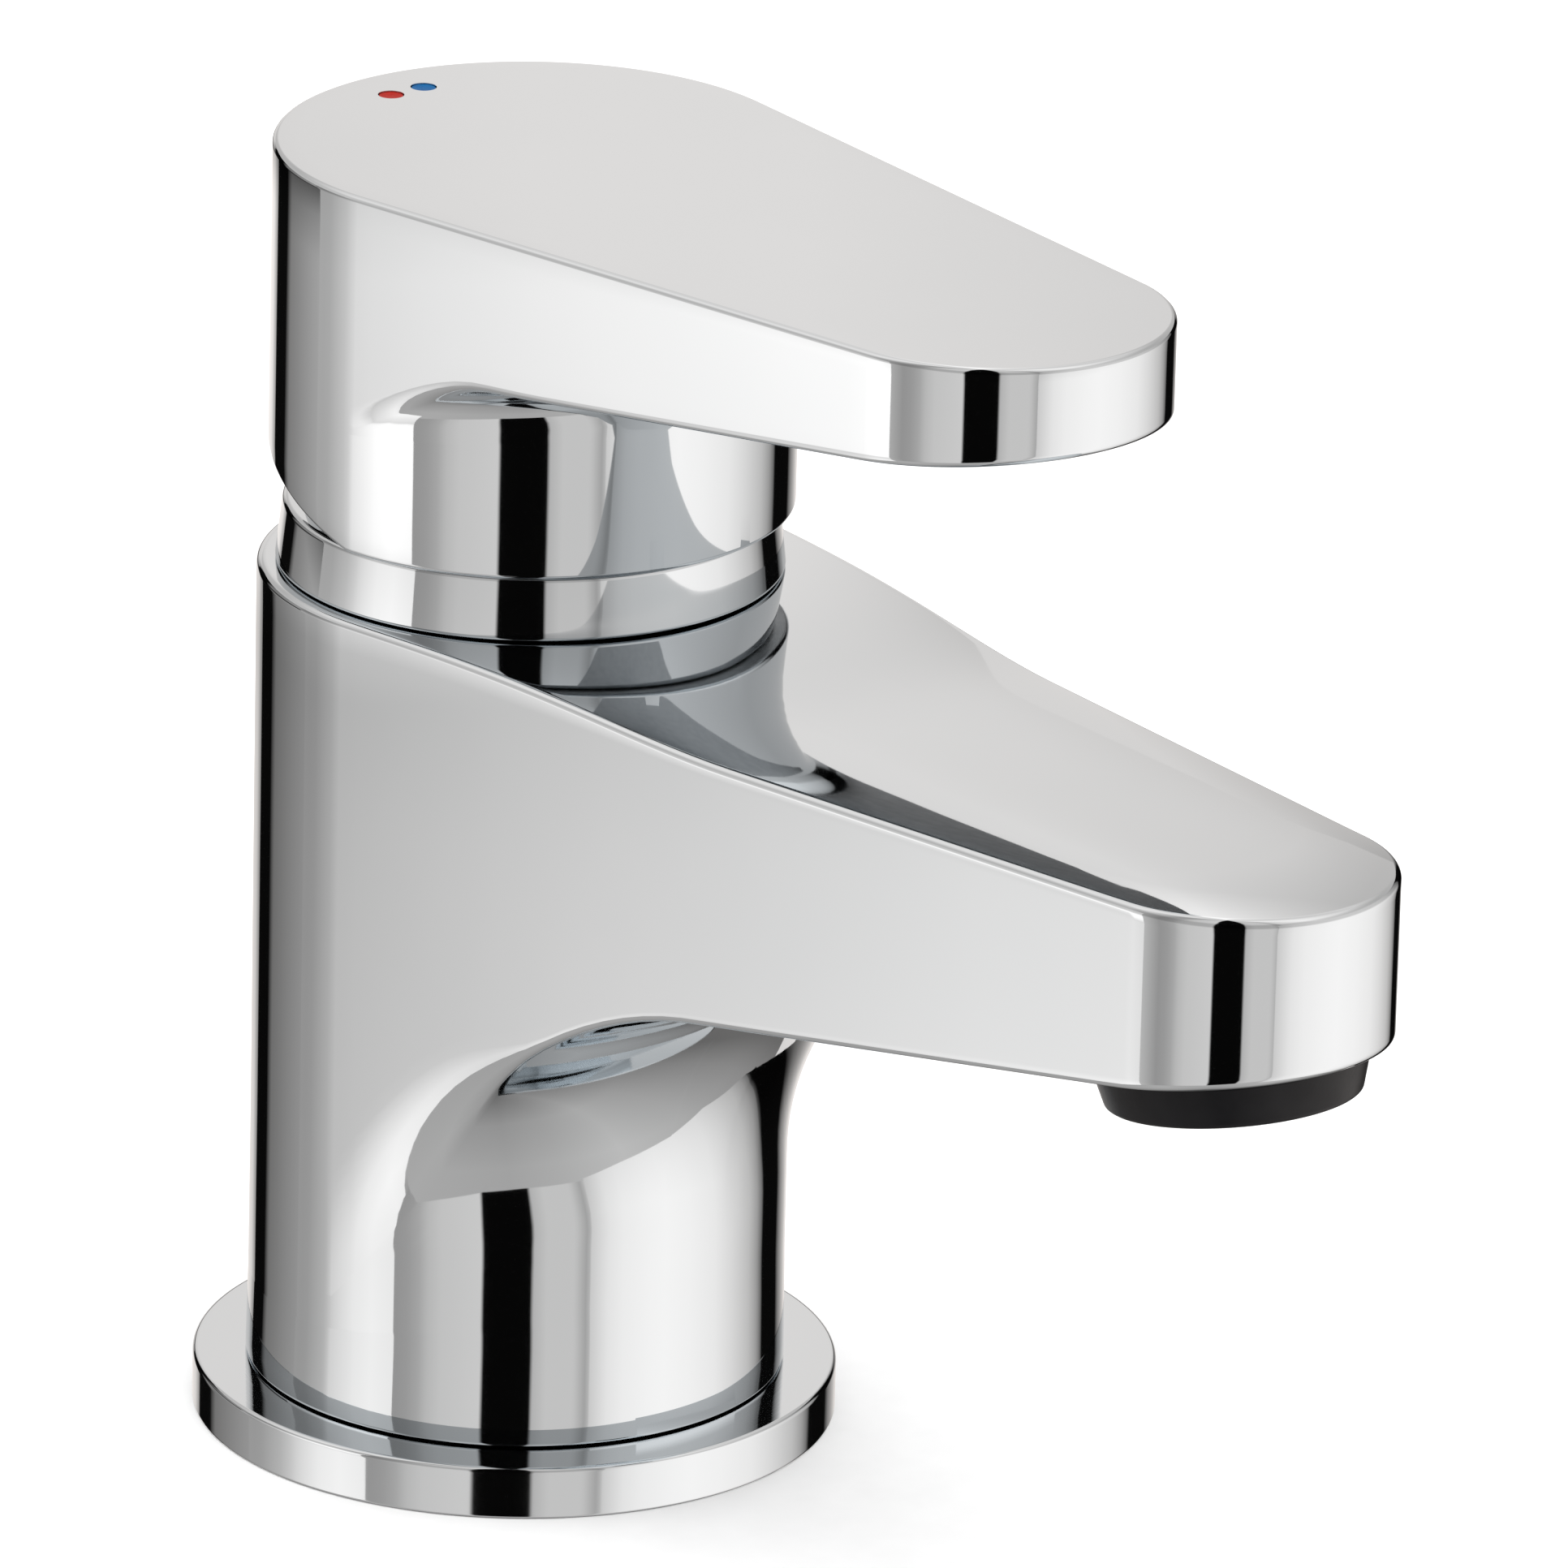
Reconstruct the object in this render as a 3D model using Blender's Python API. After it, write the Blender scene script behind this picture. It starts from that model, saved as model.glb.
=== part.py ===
"""Single-lever bathroom basin mixer, one object for each separate piece.

Frame: +Z up, the spout and the lever point along -Y, X runs across.
The origin is the centre of the casting's foot, in the plane of the basin deck.
Sizes below are in millimetres and are turned into metres when a mesh is made.
"""

import math

import bmesh
import bpy

MM = 0.001
GAP = 0.3

# Base ring and foot
RING_R = 27.0
RING_HEIGHT = 4.5
RING_BORE_R = 17.8
RING_ROUNDING = 0.4
FOOT_R = 17.5
GASKET_R = (22.2, 24.8)
GASKET_HEIGHT = 1.3
GASKET_GROOVE_HEIGHT = 1.6
O_RING_GROOVE_R = (18.6, 20.4)
O_RING_GROOVE_DEPTH = 1.2
O_RING_THICKNESS = 0.46
O_RING_Z = 4.03

# Casting: column, spout and cartridge bore
COLUMN_R_FOOT = 22.6
COLUMN_R_LOW = 22.4
COLUMN_R_TOP = 21.8
COLUMN_FOOT_Z = RING_HEIGHT + GAP
COLUMN_TOP_Z = 74.6
CASTING_ROUNDING = 0.5
SPOUT_TIP_R = 13.0
SPOUT_REACH = 86.0
SPOUT_DROP = 1.8
SPOUT_CROWN = 0.45
UNDERSIDE_Z = 43.5
UNDERSIDE_SLOPE = 0.1585
UNDER_FILLET_R = 22.5
BORE_R = 18.0
BORE_FLOOR_Z = 49.0
BORE_CHAMFER = 0.3

# Waterways and fixing hole
INLET_X = 7.5
INLET_PORT_R = 4.8
INLET_PORT_DEPTH = 14.0
INLET_TOP_Y = 3.0
INLET_WAY_R = 3.0
OUTLET_Y = -9.5
# Each run of the outlet: start and end as (y, z), radius, and how far it is flattened.
OUTLET_RUNS = (
    ((OUTLET_Y, 44.0), (OUTLET_Y, BORE_FLOOR_Z + 1.0), 2.6, 1.0),
    ((OUTLET_Y + 2.0, 44.6), (-27.0, 47.0), 4.4, 0.5),
    ((-24.5, 47.0), (-40.0, 57.0), 6.0, 0.5),
    ((-38.0, 56.5), (-SPOUT_REACH, 64.4), 7.0, 0.62),
)
STUD_HOLE_Y = -10.5
STUD_HOLE_R = 3.4
STUD_HOLE_DEPTH = 16.0

# Aerator, square to the sloping underside of the spout; heights are from the underside
AERATOR_BORE_R = 9.9
AERATOR_BORE_DEPTH = 9.6
SLEEVE_R = (8.4, 9.6)
SLEEVE_TOP = 6.2
COLLAR_R = 11.2
COLLAR_NOSE_R = (7.9, 9.9, 10.3)
COLLAR_NOSE = (-3.6, -3.8, -3.5)
COLLAR_STEP = -1.6
CORE_R = 8.1
SCREEN_SPAN = (-1.3, -0.3)
INSERT_SPAN = (0.9, 5.2)
INSERT_HOLE_R = 1.2
INSERT_HOLE_RING_R = 5.4
SCREEN_HOLE_R = 1.5
SCREEN_HOLE_RING_R = 4.6
WASHER_R = (6.6, 9.5)
WASHER_SPAN = (6.5, 8.1)

# Shroud ring and the handle's lift pivot
PIVOT_Z = 77.0
SHROUD_R_LOW = 21.1
SHROUD_R_HIGH = 20.5
SHROUD_SHOULDER_Z = 79.9
SHROUD_BORE_R = 18.4
DOME_R = 19.3
DOME_WALL = 1.4
DOME_MOUTH_R = 15.8

# Handle
HANDLE_R = 21.8
HANDLE_TIP_R = 14.9
HANDLE_REACH = 55.2
HANDLE_TOP_Z = 110.8
HANDLE_RIM_Z = 80.3
HANDLE_REAR_SLOPE = 0.30
HANDLE_REAR_START = -0.8
HANDLE_ROUNDING = 0.5
LEVER_UNDER_Z = 95.7
LEVER_UNDER_SLOPE = 0.104
HANDLE_FILLET_R = 4.0
CUP_R = 19.9
CUP_ROOF_Z = 104.0
BOSS_R = 8.0
BOSS_FOOT_Z = 94.0
SOCKET_ROOF_Z = 102.4
DOT_R = 1.0
DOT_Y = 16.7
DOT_X = (-1.75, 1.75)
DOT_THICKNESS = 0.6
DOT_SUNK = 0.1
WELL_DEPTH = 1.0
SCREW_Z = 98.0
SCREW_R = 2.5
SCREW_END_Y = 10.5
HEX_SOCKET_Y = 8.3
HEX_SOCKET_R = 1.25
CAP_Y = (19.9, 21.4)

# Cartridge, from the bore's floor upwards
CARTRIDGE_R = 17.5
PORT_SEAL_R = 3.4
PORT_SEAL_Z = 49.65
PORT_SEAL_THICKNESS = 0.32
BASE_SPAN = (50.3, 55.7)
BASE_PORT_R = 2.6
PORTS = {"hot": (-6.0, 3.5), "cold": (6.0, 3.5), "outlet": (0.0, OUTLET_Y)}
FIXED_DISC_R = 13.0
FIXED_DISC_SPAN = (56.0, 59.0)
DISC_PORT_R = 2.4
DISC_R = 8.6
MOVING_DISC_SPAN = (59.3, 62.3)
MIXING_HOLLOW_R = 3.6
MIXING_HOLLOW_Y = -2.0
MIXING_HOLLOW_TOP = 61.0
CARRIER_SPAN = (62.6, 67.3)
CARRIER_SLOT_HALF = 3.3
CARRIER_SLOT_Z = 64.4
HOUSING_BORE_R = 15.6
HOUSING_SHOULDER_Z = 72.0
HOUSING_CEILING_Z = 70.6
NECK_BORE_R = 10.6
NECK_R = 13.5
NECK_TOP_Z = 82.0
LIMIT_RING_SPAN = (82.3, 84.0)
ROTOR_R = 10.3
ROTOR_FLANGE_R = 12.6
ROTOR_FLANGE_SPAN = (67.9, 70.2)
ROTOR_TOP_Z = 84.6
ROTOR_SLOT_Y = (-6.9, 7.4)
ROTOR_SLOT_GAP = 0.4
PIN_R = 1.2
PIN_GAP = 0.15
PIN_HALF = 9.6
STEM_HALF = 3.5
STEM_SPAN = (70.5, 102.0)
STEM_FOOT_R = (2.2, 2.6)
STEM_FOOT_Z = 65.6

# Retaining nut
NUT_R = (13.9, 17.6)
NUT_SPAN = (72.3, 78.8)
NUT_CHAMFER = 0.6
NUT_SLOT_R = 2.0
NUT_SLOT_RING_R = 17.0
NUT_SLOT_Z = 76.0

# How many sides round pieces have
FINE = 56
MEDIUM = 32
COARSE = 24
SMALL = 20
TINY = 10

# How far a cutter runs past the face that it opens
PAST = 1.0

# Finishes: colour, roughness, metallic
CHROME_CAST = ((0.80, 0.81, 0.82), 0.06, 1.0)
CHROME_TURNED = ((0.80, 0.81, 0.82), 0.08, 1.0)
BRASS = ((0.72, 0.55, 0.28), 0.35, 1.0)
STEEL = ((0.62, 0.63, 0.64), 0.3, 1.0)
RUBBER = ((0.03, 0.03, 0.03), 0.68, 0.0)
BLACK = ((0.02, 0.02, 0.02), 0.35, 0.0)
PALE = ((0.75, 0.76, 0.74), 0.45, 0.0)
GREY = ((0.33, 0.34, 0.35), 0.5, 0.0)
WHITE = ((0.87, 0.86, 0.81), 0.5, 0.0)
CERAMIC = ((0.83, 0.82, 0.79), 0.2, 0.0)
RED_PLASTIC = ((0.62, 0.05, 0.04), 0.5, 0.0)
ENAMEL = {"red": ((0.62, 0.02, 0.02), 0.3, 0.0), "blue": ((0.02, 0.18, 0.52), 0.3, 0.0)}


# ---------------------------------------------------------------- helpers

def material(name, colour, roughness, metallic):
    mat = bpy.data.materials.new(name)
    mat.use_nodes = True
    shader = mat.node_tree.nodes["Principled BSDF"]
    shader.inputs["Base Color"].default_value = (*colour, 1.0)
    shader.inputs["Roughness"].default_value = roughness
    shader.inputs["Metallic"].default_value = metallic
    return mat


def new_object(name, points, faces, finish=None, origin=(0.0, 0.0, 0.0)):
    """Makes a mesh object from points in millimetres, with its origin at a given point."""
    mesh = bpy.data.meshes.new(name)
    local = [[(p[i] - origin[i]) * MM for i in range(3)] for p in points]
    mesh.from_pydata(local, [], faces)
    work = bmesh.new()
    work.from_mesh(mesh)
    bmesh.ops.remove_doubles(work, verts=work.verts, dist=0.000002)
    bmesh.ops.recalc_face_normals(work, faces=work.faces)
    work.to_mesh(mesh)
    work.free()
    mesh.shade_smooth()
    mesh.set_sharp_from_angle(angle=math.radians(35))
    body = bpy.data.objects.new(name, mesh)
    body.location = [c * MM for c in origin]
    bpy.context.collection.objects.link(body)
    if finish:
        mesh.materials.append(material(name, *finish))
    return body


def stitch(rings, first_pole=None, last_pole=None, closed=False):
    """Joins equal rings of points with quads; poles close the ends with fans."""
    count = len(rings[0])
    points = [p for ring in rings for p in ring]
    faces = []
    pairs = len(rings) if closed else len(rings) - 1
    for k in range(pairs):
        low = k * count
        high = ((k + 1) % len(rings)) * count
        for i in range(count):
            j = (i + 1) % count
            faces.append((low + i, low + j, high + j, high + i))
    if first_pole:
        points.append(first_pole)
        pole = len(points) - 1
        faces += [(pole, (i + 1) % count, i) for i in range(count)]
    if last_pole:
        points.append(last_pole)
        pole = len(points) - 1
        base = (len(rings) - 1) * count
        faces += [(pole, base + i, base + (i + 1) % count) for i in range(count)]
    return points, faces


def turned(name, profile, steps, finish=None, place=None):
    """A turned solid. Its (radius, height) profile is an open line between two
    points on the axis, or a closed loop clear of the axis."""
    closed = profile[0][0] > 0 and profile[-1][0] > 0
    turn = [2 * math.pi * i / steps for i in range(steps)]
    rings = []
    for radius, height in profile:
        if radius > 0:
            rings.append([(radius * math.cos(a), radius * math.sin(a), height) for a in turn])
    first = None if closed else (0.0, 0.0, profile[0][1])
    last = None if closed else (0.0, 0.0, profile[-1][1])
    points, faces = stitch(rings, first, last, closed)
    if place:
        points = [place(p) for p in points]
    return new_object(name, points, faces, finish)


def drum(name, radius, span, steps=MEDIUM, finish=None, place=None):
    """A plain upright cylinder between two heights."""
    low, high = span
    return turned(name, [(0, low), (radius, low), (radius, high), (0, high)], steps, finish, place)


def collar(name, radii, span, steps=MEDIUM, finish=None, place=None, chamfer=0.0):
    """A plain upright ring between two radii and two heights."""
    inner, outer = radii
    low, high = span
    profile = [(inner, low), (outer - chamfer, low), (outer, low + chamfer),
               (outer, high - chamfer), (outer - chamfer, high), (inner, high)]
    if not chamfer:
        profile = [(inner, low), (outer, low), (outer, high), (inner, high)]
    return turned(name, profile, steps, finish, place)


def shifted(x, y):
    return lambda p: (p[0] + x, p[1] + y, p[2])


def on_circle(radius, steps, offset=0.0):
    turn = [2 * math.pi * (i + offset) / steps for i in range(steps)]
    return [(radius * math.cos(a), radius * math.sin(a)) for a in turn]


def block(name, low, high, finish=None, origin=(0.0, 0.0, 0.0)):
    corners = [(low[0], low[1]), (high[0], low[1]), (high[0], high[1]), (low[0], high[1])]
    points, faces = stitch([at_height(corners, z) for z in (low[2], high[2])])
    faces += [(3, 2, 1, 0), (4, 5, 6, 7)]
    return new_object(name, points, faces, finish, origin)


def bar(name, start, end, radius, steps=COARSE, flatten=1.0, finish=None):
    """A round bar from start to end; flatten squashes it across its height."""
    axis = [e - s for s, e in zip(start, end)]
    length = math.hypot(*axis)
    axis = [c / length for c in axis]
    guide = (0.0, 0.0, 1.0) if abs(axis[2]) < 0.9 else (0.0, 1.0, 0.0)
    side = cross(guide, axis)
    size = math.hypot(*side)
    side = [c / size for c in side]
    up = cross(axis, side)
    rings = []
    for centre in (start, end):
        ring = []
        for across, rise in on_circle(radius, steps):
            ring.append(tuple(c + across * s + flatten * rise * u for c, s, u in zip(centre, side, up)))
        rings.append(ring)
    points, faces = stitch(rings, start, end)
    return new_object(name, points, faces, finish)


def cross(a, b):
    return (a[1] * b[2] - a[2] * b[1], a[2] * b[0] - a[0] * b[2], a[0] * b[1] - a[1] * b[0])


def cut(target, cutter, operation="DIFFERENCE"):
    """Cuts target with a helper solid that stays in the file as a wire guide."""
    cutter.hide_render = True
    cutter.display_type = "WIRE"
    step = target.modifiers.new(operation.lower(), "BOOLEAN")
    step.operation = operation
    step.solver = "EXACT"
    step.object = cutter


def teardrop(hub_r, tip_r, reach, hub_steps, side_steps, tip_steps):
    """Plan outline of a hub circle and a smaller tip circle joined by tangents."""
    lean = math.acos((hub_r - tip_r) / reach)
    outline = []
    for i in range(hub_steps + 1):
        a = lean + (2 * math.pi - 2 * lean) * i / hub_steps
        outline.append((hub_r * math.sin(a), -hub_r * math.cos(a)))
    tip = []
    for i in range(tip_steps + 1):
        a = -lean + 2 * lean * i / tip_steps
        tip.append((tip_r * math.sin(a), -reach - tip_r * math.cos(a)))
    outline += between(outline[-1], tip[0], side_steps)
    outline += tip
    outline += between(tip[-1], outline[0], side_steps)
    return outline


def mix(a, b, t):
    return a + (b - a) * t


def between(start, end, steps):
    return [(mix(start[0], end[0], i / steps), mix(start[1], end[1], i / steps))
            for i in range(1, steps)]


def smooth(value, low, high):
    t = min(1.0, max(0.0, (value - low) / (high - low)))
    return t * t * (3 - 2 * t)


def inset(outline, distance):
    """Moves each outline point inwards along the outline's own normal."""
    moved = []
    count = len(outline)
    for i in range(count):
        before = outline[i - 1]
        after = outline[(i + 1) % count]
        dx = after[0] - before[0]
        dy = after[1] - before[1]
        size = math.hypot(dx, dy)
        moved.append((outline[i][0] - distance * dy / size, outline[i][1] + distance * dx / size))
    return moved


def towards_axis(outline, radius):
    """Puts every outline point on a circle round the column's axis."""
    return [(x * radius / math.hypot(x, y), y * radius / math.hypot(x, y)) for x, y in outline]


def at_height(outline, height):
    return [(x, y, height) for x, y in outline]


# ---------------------------------------------------------------- casting

def spout_top(x, y):
    """Height of the top: level round the hub, then sloping and crowned along the spout."""
    along = smooth(-y, 8.0, 45.0)
    half = mix(COLUMN_R_TOP, SPOUT_TIP_R, min(1.0, max(0.0, -y) / SPOUT_REACH))
    side = min(1.0, math.hypot(x, min(0.0, y + SPOUT_REACH)) / half)
    return COLUMN_TOP_Z - SPOUT_DROP * along * mix(along, side ** 4, SPOUT_CROWN)


def underside(y):
    return UNDERSIDE_Z + UNDERSIDE_SLOPE * max(0.0, -y)


def radial_skirt(outline, column_r, fillet_r, base, arc_steps, spread):
    """Rings from an outline's lower edge in along a sloping underside and down a
    concave fillet to a column. spread keeps the rings apart where they would meet."""
    rings = [[] for _ in range(arc_steps + 3)]
    spread_reach = 3.0
    for x, y in outline:
        rho = math.hypot(x, y)
        ux, uy = x / rho, y / rho
        reach = max(0.0, rho - column_r)
        start = math.asin(max(0.0, 1.0 - reach / fillet_r))
        flat = max(0.0, reach - fillet_r)
        apart = spread * (1.0 - min(1.0, reach / spread_reach))
        radii = [column_r + min(reach, fillet_r) + flat * part for part in (1.0, 0.5)]
        drops = [fillet_r - fillet_r * math.cos(start)] * 2
        for k in range(arc_steps + 1):
            a = mix(start, math.pi / 2, k / arc_steps)
            radii.append(column_r + fillet_r - fillet_r * math.sin(a))
            drops.append(fillet_r - fillet_r * math.cos(a))
        for k, (radius, drop) in enumerate(zip(radii, drops)):
            rings[k].append((ux * radius, uy * radius, base(uy * radius) - drop - apart * k))
    return rings


def make_casting():
    outline = teardrop(COLUMN_R_TOP, SPOUT_TIP_R, SPOUT_REACH, 40, 9, 16)
    edge = inset(outline, CASTING_ROUNDING)
    mouth = towards_axis(outline, BORE_R + BORE_CHAMFER)
    rings = [at_height(towards_axis(outline, BORE_R), z)
             for z in (BORE_FLOOR_Z, COLUMN_TOP_Z - 2 * BORE_CHAMFER)]
    for part in (0.0, 0.3, 0.65, 1.0):
        ring = [(mix(m[0], e[0], part), mix(m[1], e[1], part)) for m, e in zip(mouth, edge)]
        rings.append([(x, y, spout_top(x, y)) for x, y in ring])
    rings.append([(x, y, spout_top(x, y) - CASTING_ROUNDING) for x, y in outline])
    rings += radial_skirt(outline, COLUMN_R_LOW, UNDER_FILLET_R, underside, 8, 0.35)
    for radius, height in ((COLUMN_R_FOOT, COLUMN_FOOT_Z + CASTING_ROUNDING),
                           (COLUMN_R_FOOT - CASTING_ROUNDING, COLUMN_FOOT_Z),
                           (FOOT_R, COLUMN_FOOT_Z), (FOOT_R, 0.0)):
        rings.append(at_height(towards_axis(outline, radius), height))
    points, faces = stitch(rings, (0.0, 0.0, BORE_FLOOR_Z), (0.0, 0.0, 0.0))
    casting = new_object("body_casting", points, faces, CHROME_CAST)
    cut_inlets(casting)
    cut_outlet(casting)
    stud = drum("cut_stud", STUD_HOLE_R, (-PAST, STUD_HOLE_DEPTH), COARSE, place=shifted(0.0, STUD_HOLE_Y))
    cut(casting, stud)
    bore = drum("cut_aerator_bore", AERATOR_BORE_R, (-2 * PAST, AERATOR_BORE_DEPTH), place=on_spout)
    cut(casting, bore)
    return casting


def cut_inlets(casting):
    """Threaded ports in the foot for the two hoses, with drill points and ways up to the bore."""
    for side, label in ((-1, "hot"), (1, "cold")):
        x = side * INLET_X
        drill_point = INLET_PORT_DEPTH + 2.0
        port = turned(f"cut_{label}_port", [(0, -PAST), (INLET_PORT_R, -PAST),
                      (INLET_PORT_R, INLET_PORT_DEPTH), (0, drill_point)], COARSE, place=shifted(x, 0.0))
        cut(casting, port)
        way = bar(f"cut_{label}_way", (x, 0.0, INLET_PORT_DEPTH - PAST),
                  (x, INLET_TOP_Y, BORE_FLOOR_Z + 2 * PAST), INLET_WAY_R, SMALL)
        cut(casting, way)


def cut_outlet(casting):
    """The way down through the bore's floor, out under the bore and up along the spout."""
    for k, (start, end, radius, flatten) in enumerate(OUTLET_RUNS):
        run = bar(f"cut_outlet_{k}", (0.0, *start), (0.0, *end), radius, COARSE, flatten)
        cut(casting, run)


def make_foot():
    inner, outer = GASKET_R
    o_ring_inner, o_ring_outer = O_RING_GROOVE_R
    groove = RING_HEIGHT - O_RING_GROOVE_DEPTH
    shoulder = 0.3 * RING_ROUNDING
    turned("base_ring", [(RING_BORE_R, 0.0), (inner - GAP, 0.0), (inner - GAP, GASKET_GROOVE_HEIGHT),
           (outer + GAP, GASKET_GROOVE_HEIGHT), (outer + GAP, 0.0), (RING_R - GAP, 0.0), (RING_R, GAP),
           (RING_R, RING_HEIGHT - RING_ROUNDING), (RING_R - shoulder, RING_HEIGHT - shoulder),
           (RING_R - RING_ROUNDING, RING_HEIGHT), (o_ring_outer, RING_HEIGHT), (o_ring_outer, groove),
           (o_ring_inner, groove), (o_ring_inner, RING_HEIGHT), (RING_BORE_R, RING_HEIGHT)],
           FINE, CHROME_TURNED)
    collar("base_gasket", GASKET_R, (0.0, GASKET_HEIGHT), finish=RUBBER)
    o_ring("column_o_ring", sum(O_RING_GROOVE_R) / 2, O_RING_Z, O_RING_THICKNESS)


def o_ring(name, radius, height, thickness, x=0.0, y=0.0, steps=MEDIUM):
    loop = [(radius + out, height + up) for out, up in on_circle(thickness, 6, 0.5)]
    return turned(name, loop, steps, RUBBER, shifted(x, y))


# ---------------------------------------------------------------- aerator

def on_spout(p):
    """Places a point given on the aerator's own axis, whose zero is the underside."""
    tilt = math.atan(UNDERSIDE_SLOPE)
    y = p[1] * math.cos(tilt) + p[2] * math.sin(tilt)
    z = -p[1] * math.sin(tilt) + p[2] * math.cos(tilt)
    return (p[0], y - SPOUT_REACH, z + underside(-SPOUT_REACH))


def make_aerator():
    sleeve_inner, sleeve_outer = SLEEVE_R
    nose = list(zip(COLLAR_NOSE_R, COLLAR_NOSE))
    turned("aerator_housing", nose + [(COLLAR_R, -GAP), (sleeve_outer, -GAP), (sleeve_outer, SLEEVE_TOP),
           (sleeve_inner, SLEEVE_TOP), (sleeve_inner, COLLAR_STEP), (COLLAR_NOSE_R[0], COLLAR_STEP)],
           MEDIUM, BLACK, on_spout)
    insert = drum("aerator_insert", CORE_R, INSERT_SPAN, finish=PALE, place=on_spout)
    pierce(insert, on_circle(INSERT_HOLE_RING_R, 8, 0.5), INSERT_HOLE_R, INSERT_SPAN)
    screen = drum("aerator_screen", CORE_R, SCREEN_SPAN, COARSE, STEEL, on_spout)
    pierce(screen, on_circle(SCREEN_HOLE_RING_R, 6, 0.3) + [(0.0, 0.0)], SCREEN_HOLE_R, SCREEN_SPAN)
    collar("aerator_gasket", WASHER_R, WASHER_SPAN, COARSE, RUBBER, on_spout)


def pierce(piece, centres, radius, span):
    """Holes right through an aerator piece, along the aerator's axis."""
    low, high = span
    for k, (x, y) in enumerate(centres):
        hole = drum(f"cut_{piece.name}_{k}", radius, (low - PAST, high + PAST), TINY,
                    place=lambda p, x=x, y=y: on_spout((p[0] + x, p[1] + y, p[2])))
        cut(piece, hole)


# ---------------------------------------------------------------- shroud and cartridge

def dome_arc(radius, start, stop, steps):
    """Points of the dome's section, round the lift pivot."""
    turn = [mix(start, stop, i / steps) for i in range(steps + 1)]
    return [(radius * math.cos(a), PIVOT_Z + radius * math.sin(a)) for a in turn]


def make_shroud():
    low = COLUMN_TOP_Z + GAP
    shell = DOME_R - DOME_WALL
    crest = dome_arc(DOME_R, math.asin((SHROUD_SHOULDER_Z - PIVOT_Z) / DOME_R),
                     math.acos(DOME_MOUTH_R / DOME_R), 6)
    lining = dome_arc(shell, math.acos(DOME_MOUTH_R / shell), 0.0, 4)
    outer = [(SHROUD_BORE_R, low), (SHROUD_R_LOW - 0.3, low), (SHROUD_R_LOW, low + 0.3),
             (SHROUD_R_HIGH + 0.15, SHROUD_SHOULDER_Z - 0.8), (SHROUD_R_HIGH - 0.2, SHROUD_SHOULDER_Z)]
    turned("shroud_ring", outer + crest + lining, FINE, CHROME_CAST)


def make_cartridge():
    base = drum("cartridge_base", CARTRIDGE_R, BASE_SPAN, finish=GREY)
    disc = drum("fixed_disc", FIXED_DISC_R, FIXED_DISC_SPAN, finish=CERAMIC)
    for name, (x, y) in PORTS.items():
        for piece, radius, span in ((base, BASE_PORT_R, BASE_SPAN), (disc, DISC_PORT_R, FIXED_DISC_SPAN)):
            low, high = span
            cut(piece, drum(f"cut_{piece.name}_{name}", radius, (low - PAST, high + PAST), 16,
                            place=shifted(x, y)))
        o_ring(f"{name}_port_seal", PORT_SEAL_R, PORT_SEAL_Z, PORT_SEAL_THICKNESS, x, y, 16)
    moving = drum("moving_disc", DISC_R, MOVING_DISC_SPAN, finish=CERAMIC)
    cut(moving, drum("cut_mixing", MIXING_HOLLOW_R, (MOVING_DISC_SPAN[0] - PAST, MIXING_HOLLOW_TOP), SMALL,
                     place=shifted(0.0, MIXING_HOLLOW_Y)))
    carrier = drum("disc_carrier", DISC_R, CARRIER_SPAN, finish=WHITE)
    cut(carrier, block("cut_carrier_slot", (-CARRIER_SLOT_HALF, -CARRIER_SLOT_HALF, CARRIER_SLOT_Z),
                       (CARRIER_SLOT_HALF, CARRIER_SLOT_HALF, CARRIER_SPAN[1] + PAST)))
    foot_z = FIXED_DISC_SPAN[0]
    turned("cartridge_housing", [(HOUSING_BORE_R, foot_z), (CARTRIDGE_R, foot_z),
           (CARTRIDGE_R, HOUSING_SHOULDER_Z), (NECK_R, HOUSING_SHOULDER_Z), (NECK_R, NECK_TOP_Z),
           (NECK_BORE_R, NECK_TOP_Z), (NECK_BORE_R, HOUSING_CEILING_Z), (HOUSING_BORE_R, HOUSING_CEILING_Z)],
           MEDIUM, WHITE)
    collar("hot_limit_ring", (NECK_BORE_R, NECK_R), LIMIT_RING_SPAN, finish=RED_PLASTIC)


def make_nut():
    nut = collar("retaining_nut", NUT_R, NUT_SPAN, finish=BRASS, chamfer=NUT_CHAMFER)
    for k, (x, y) in enumerate(on_circle(NUT_SLOT_RING_R, 6, 0.5)):
        cut(nut, drum(f"cut_nut_{k}", NUT_SLOT_R, (NUT_SLOT_Z, NUT_SPAN[1] + PAST), 12,
                      place=shifted(x, y)))


def pin_hole(name):
    half = PIN_HALF + 2 * PAST
    return bar(name, (-half, 0, PIVOT_Z), (half, 0, PIVOT_Z), PIN_R + PIN_GAP, SMALL)


def make_rotor(spindle):
    flange_low, flange_high = ROTOR_FLANGE_SPAN
    rotor = turned("cartridge_rotor", [(0, flange_low), (ROTOR_FLANGE_R, flange_low),
                   (ROTOR_FLANGE_R, flange_high), (ROTOR_R, flange_high), (ROTOR_R, ROTOR_TOP_Z),
                   (0, ROTOR_TOP_Z)], MEDIUM, GREY)
    half = STEM_HALF + ROTOR_SLOT_GAP
    front, back = ROTOR_SLOT_Y
    cut(rotor, block("cut_stem_slot", (-half, front, flange_low - PAST), (half, back, ROTOR_TOP_Z + PAST)))
    cut(rotor, pin_hole("cut_rotor_pin_hole"))
    pin = bar("rotor_pin", (-PIN_HALF, 0, PIVOT_Z), (PIN_HALF, 0, PIVOT_Z), PIN_R, SMALL, finish=STEEL)
    for piece in (rotor, pin):
        hang(piece, spindle)


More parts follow.
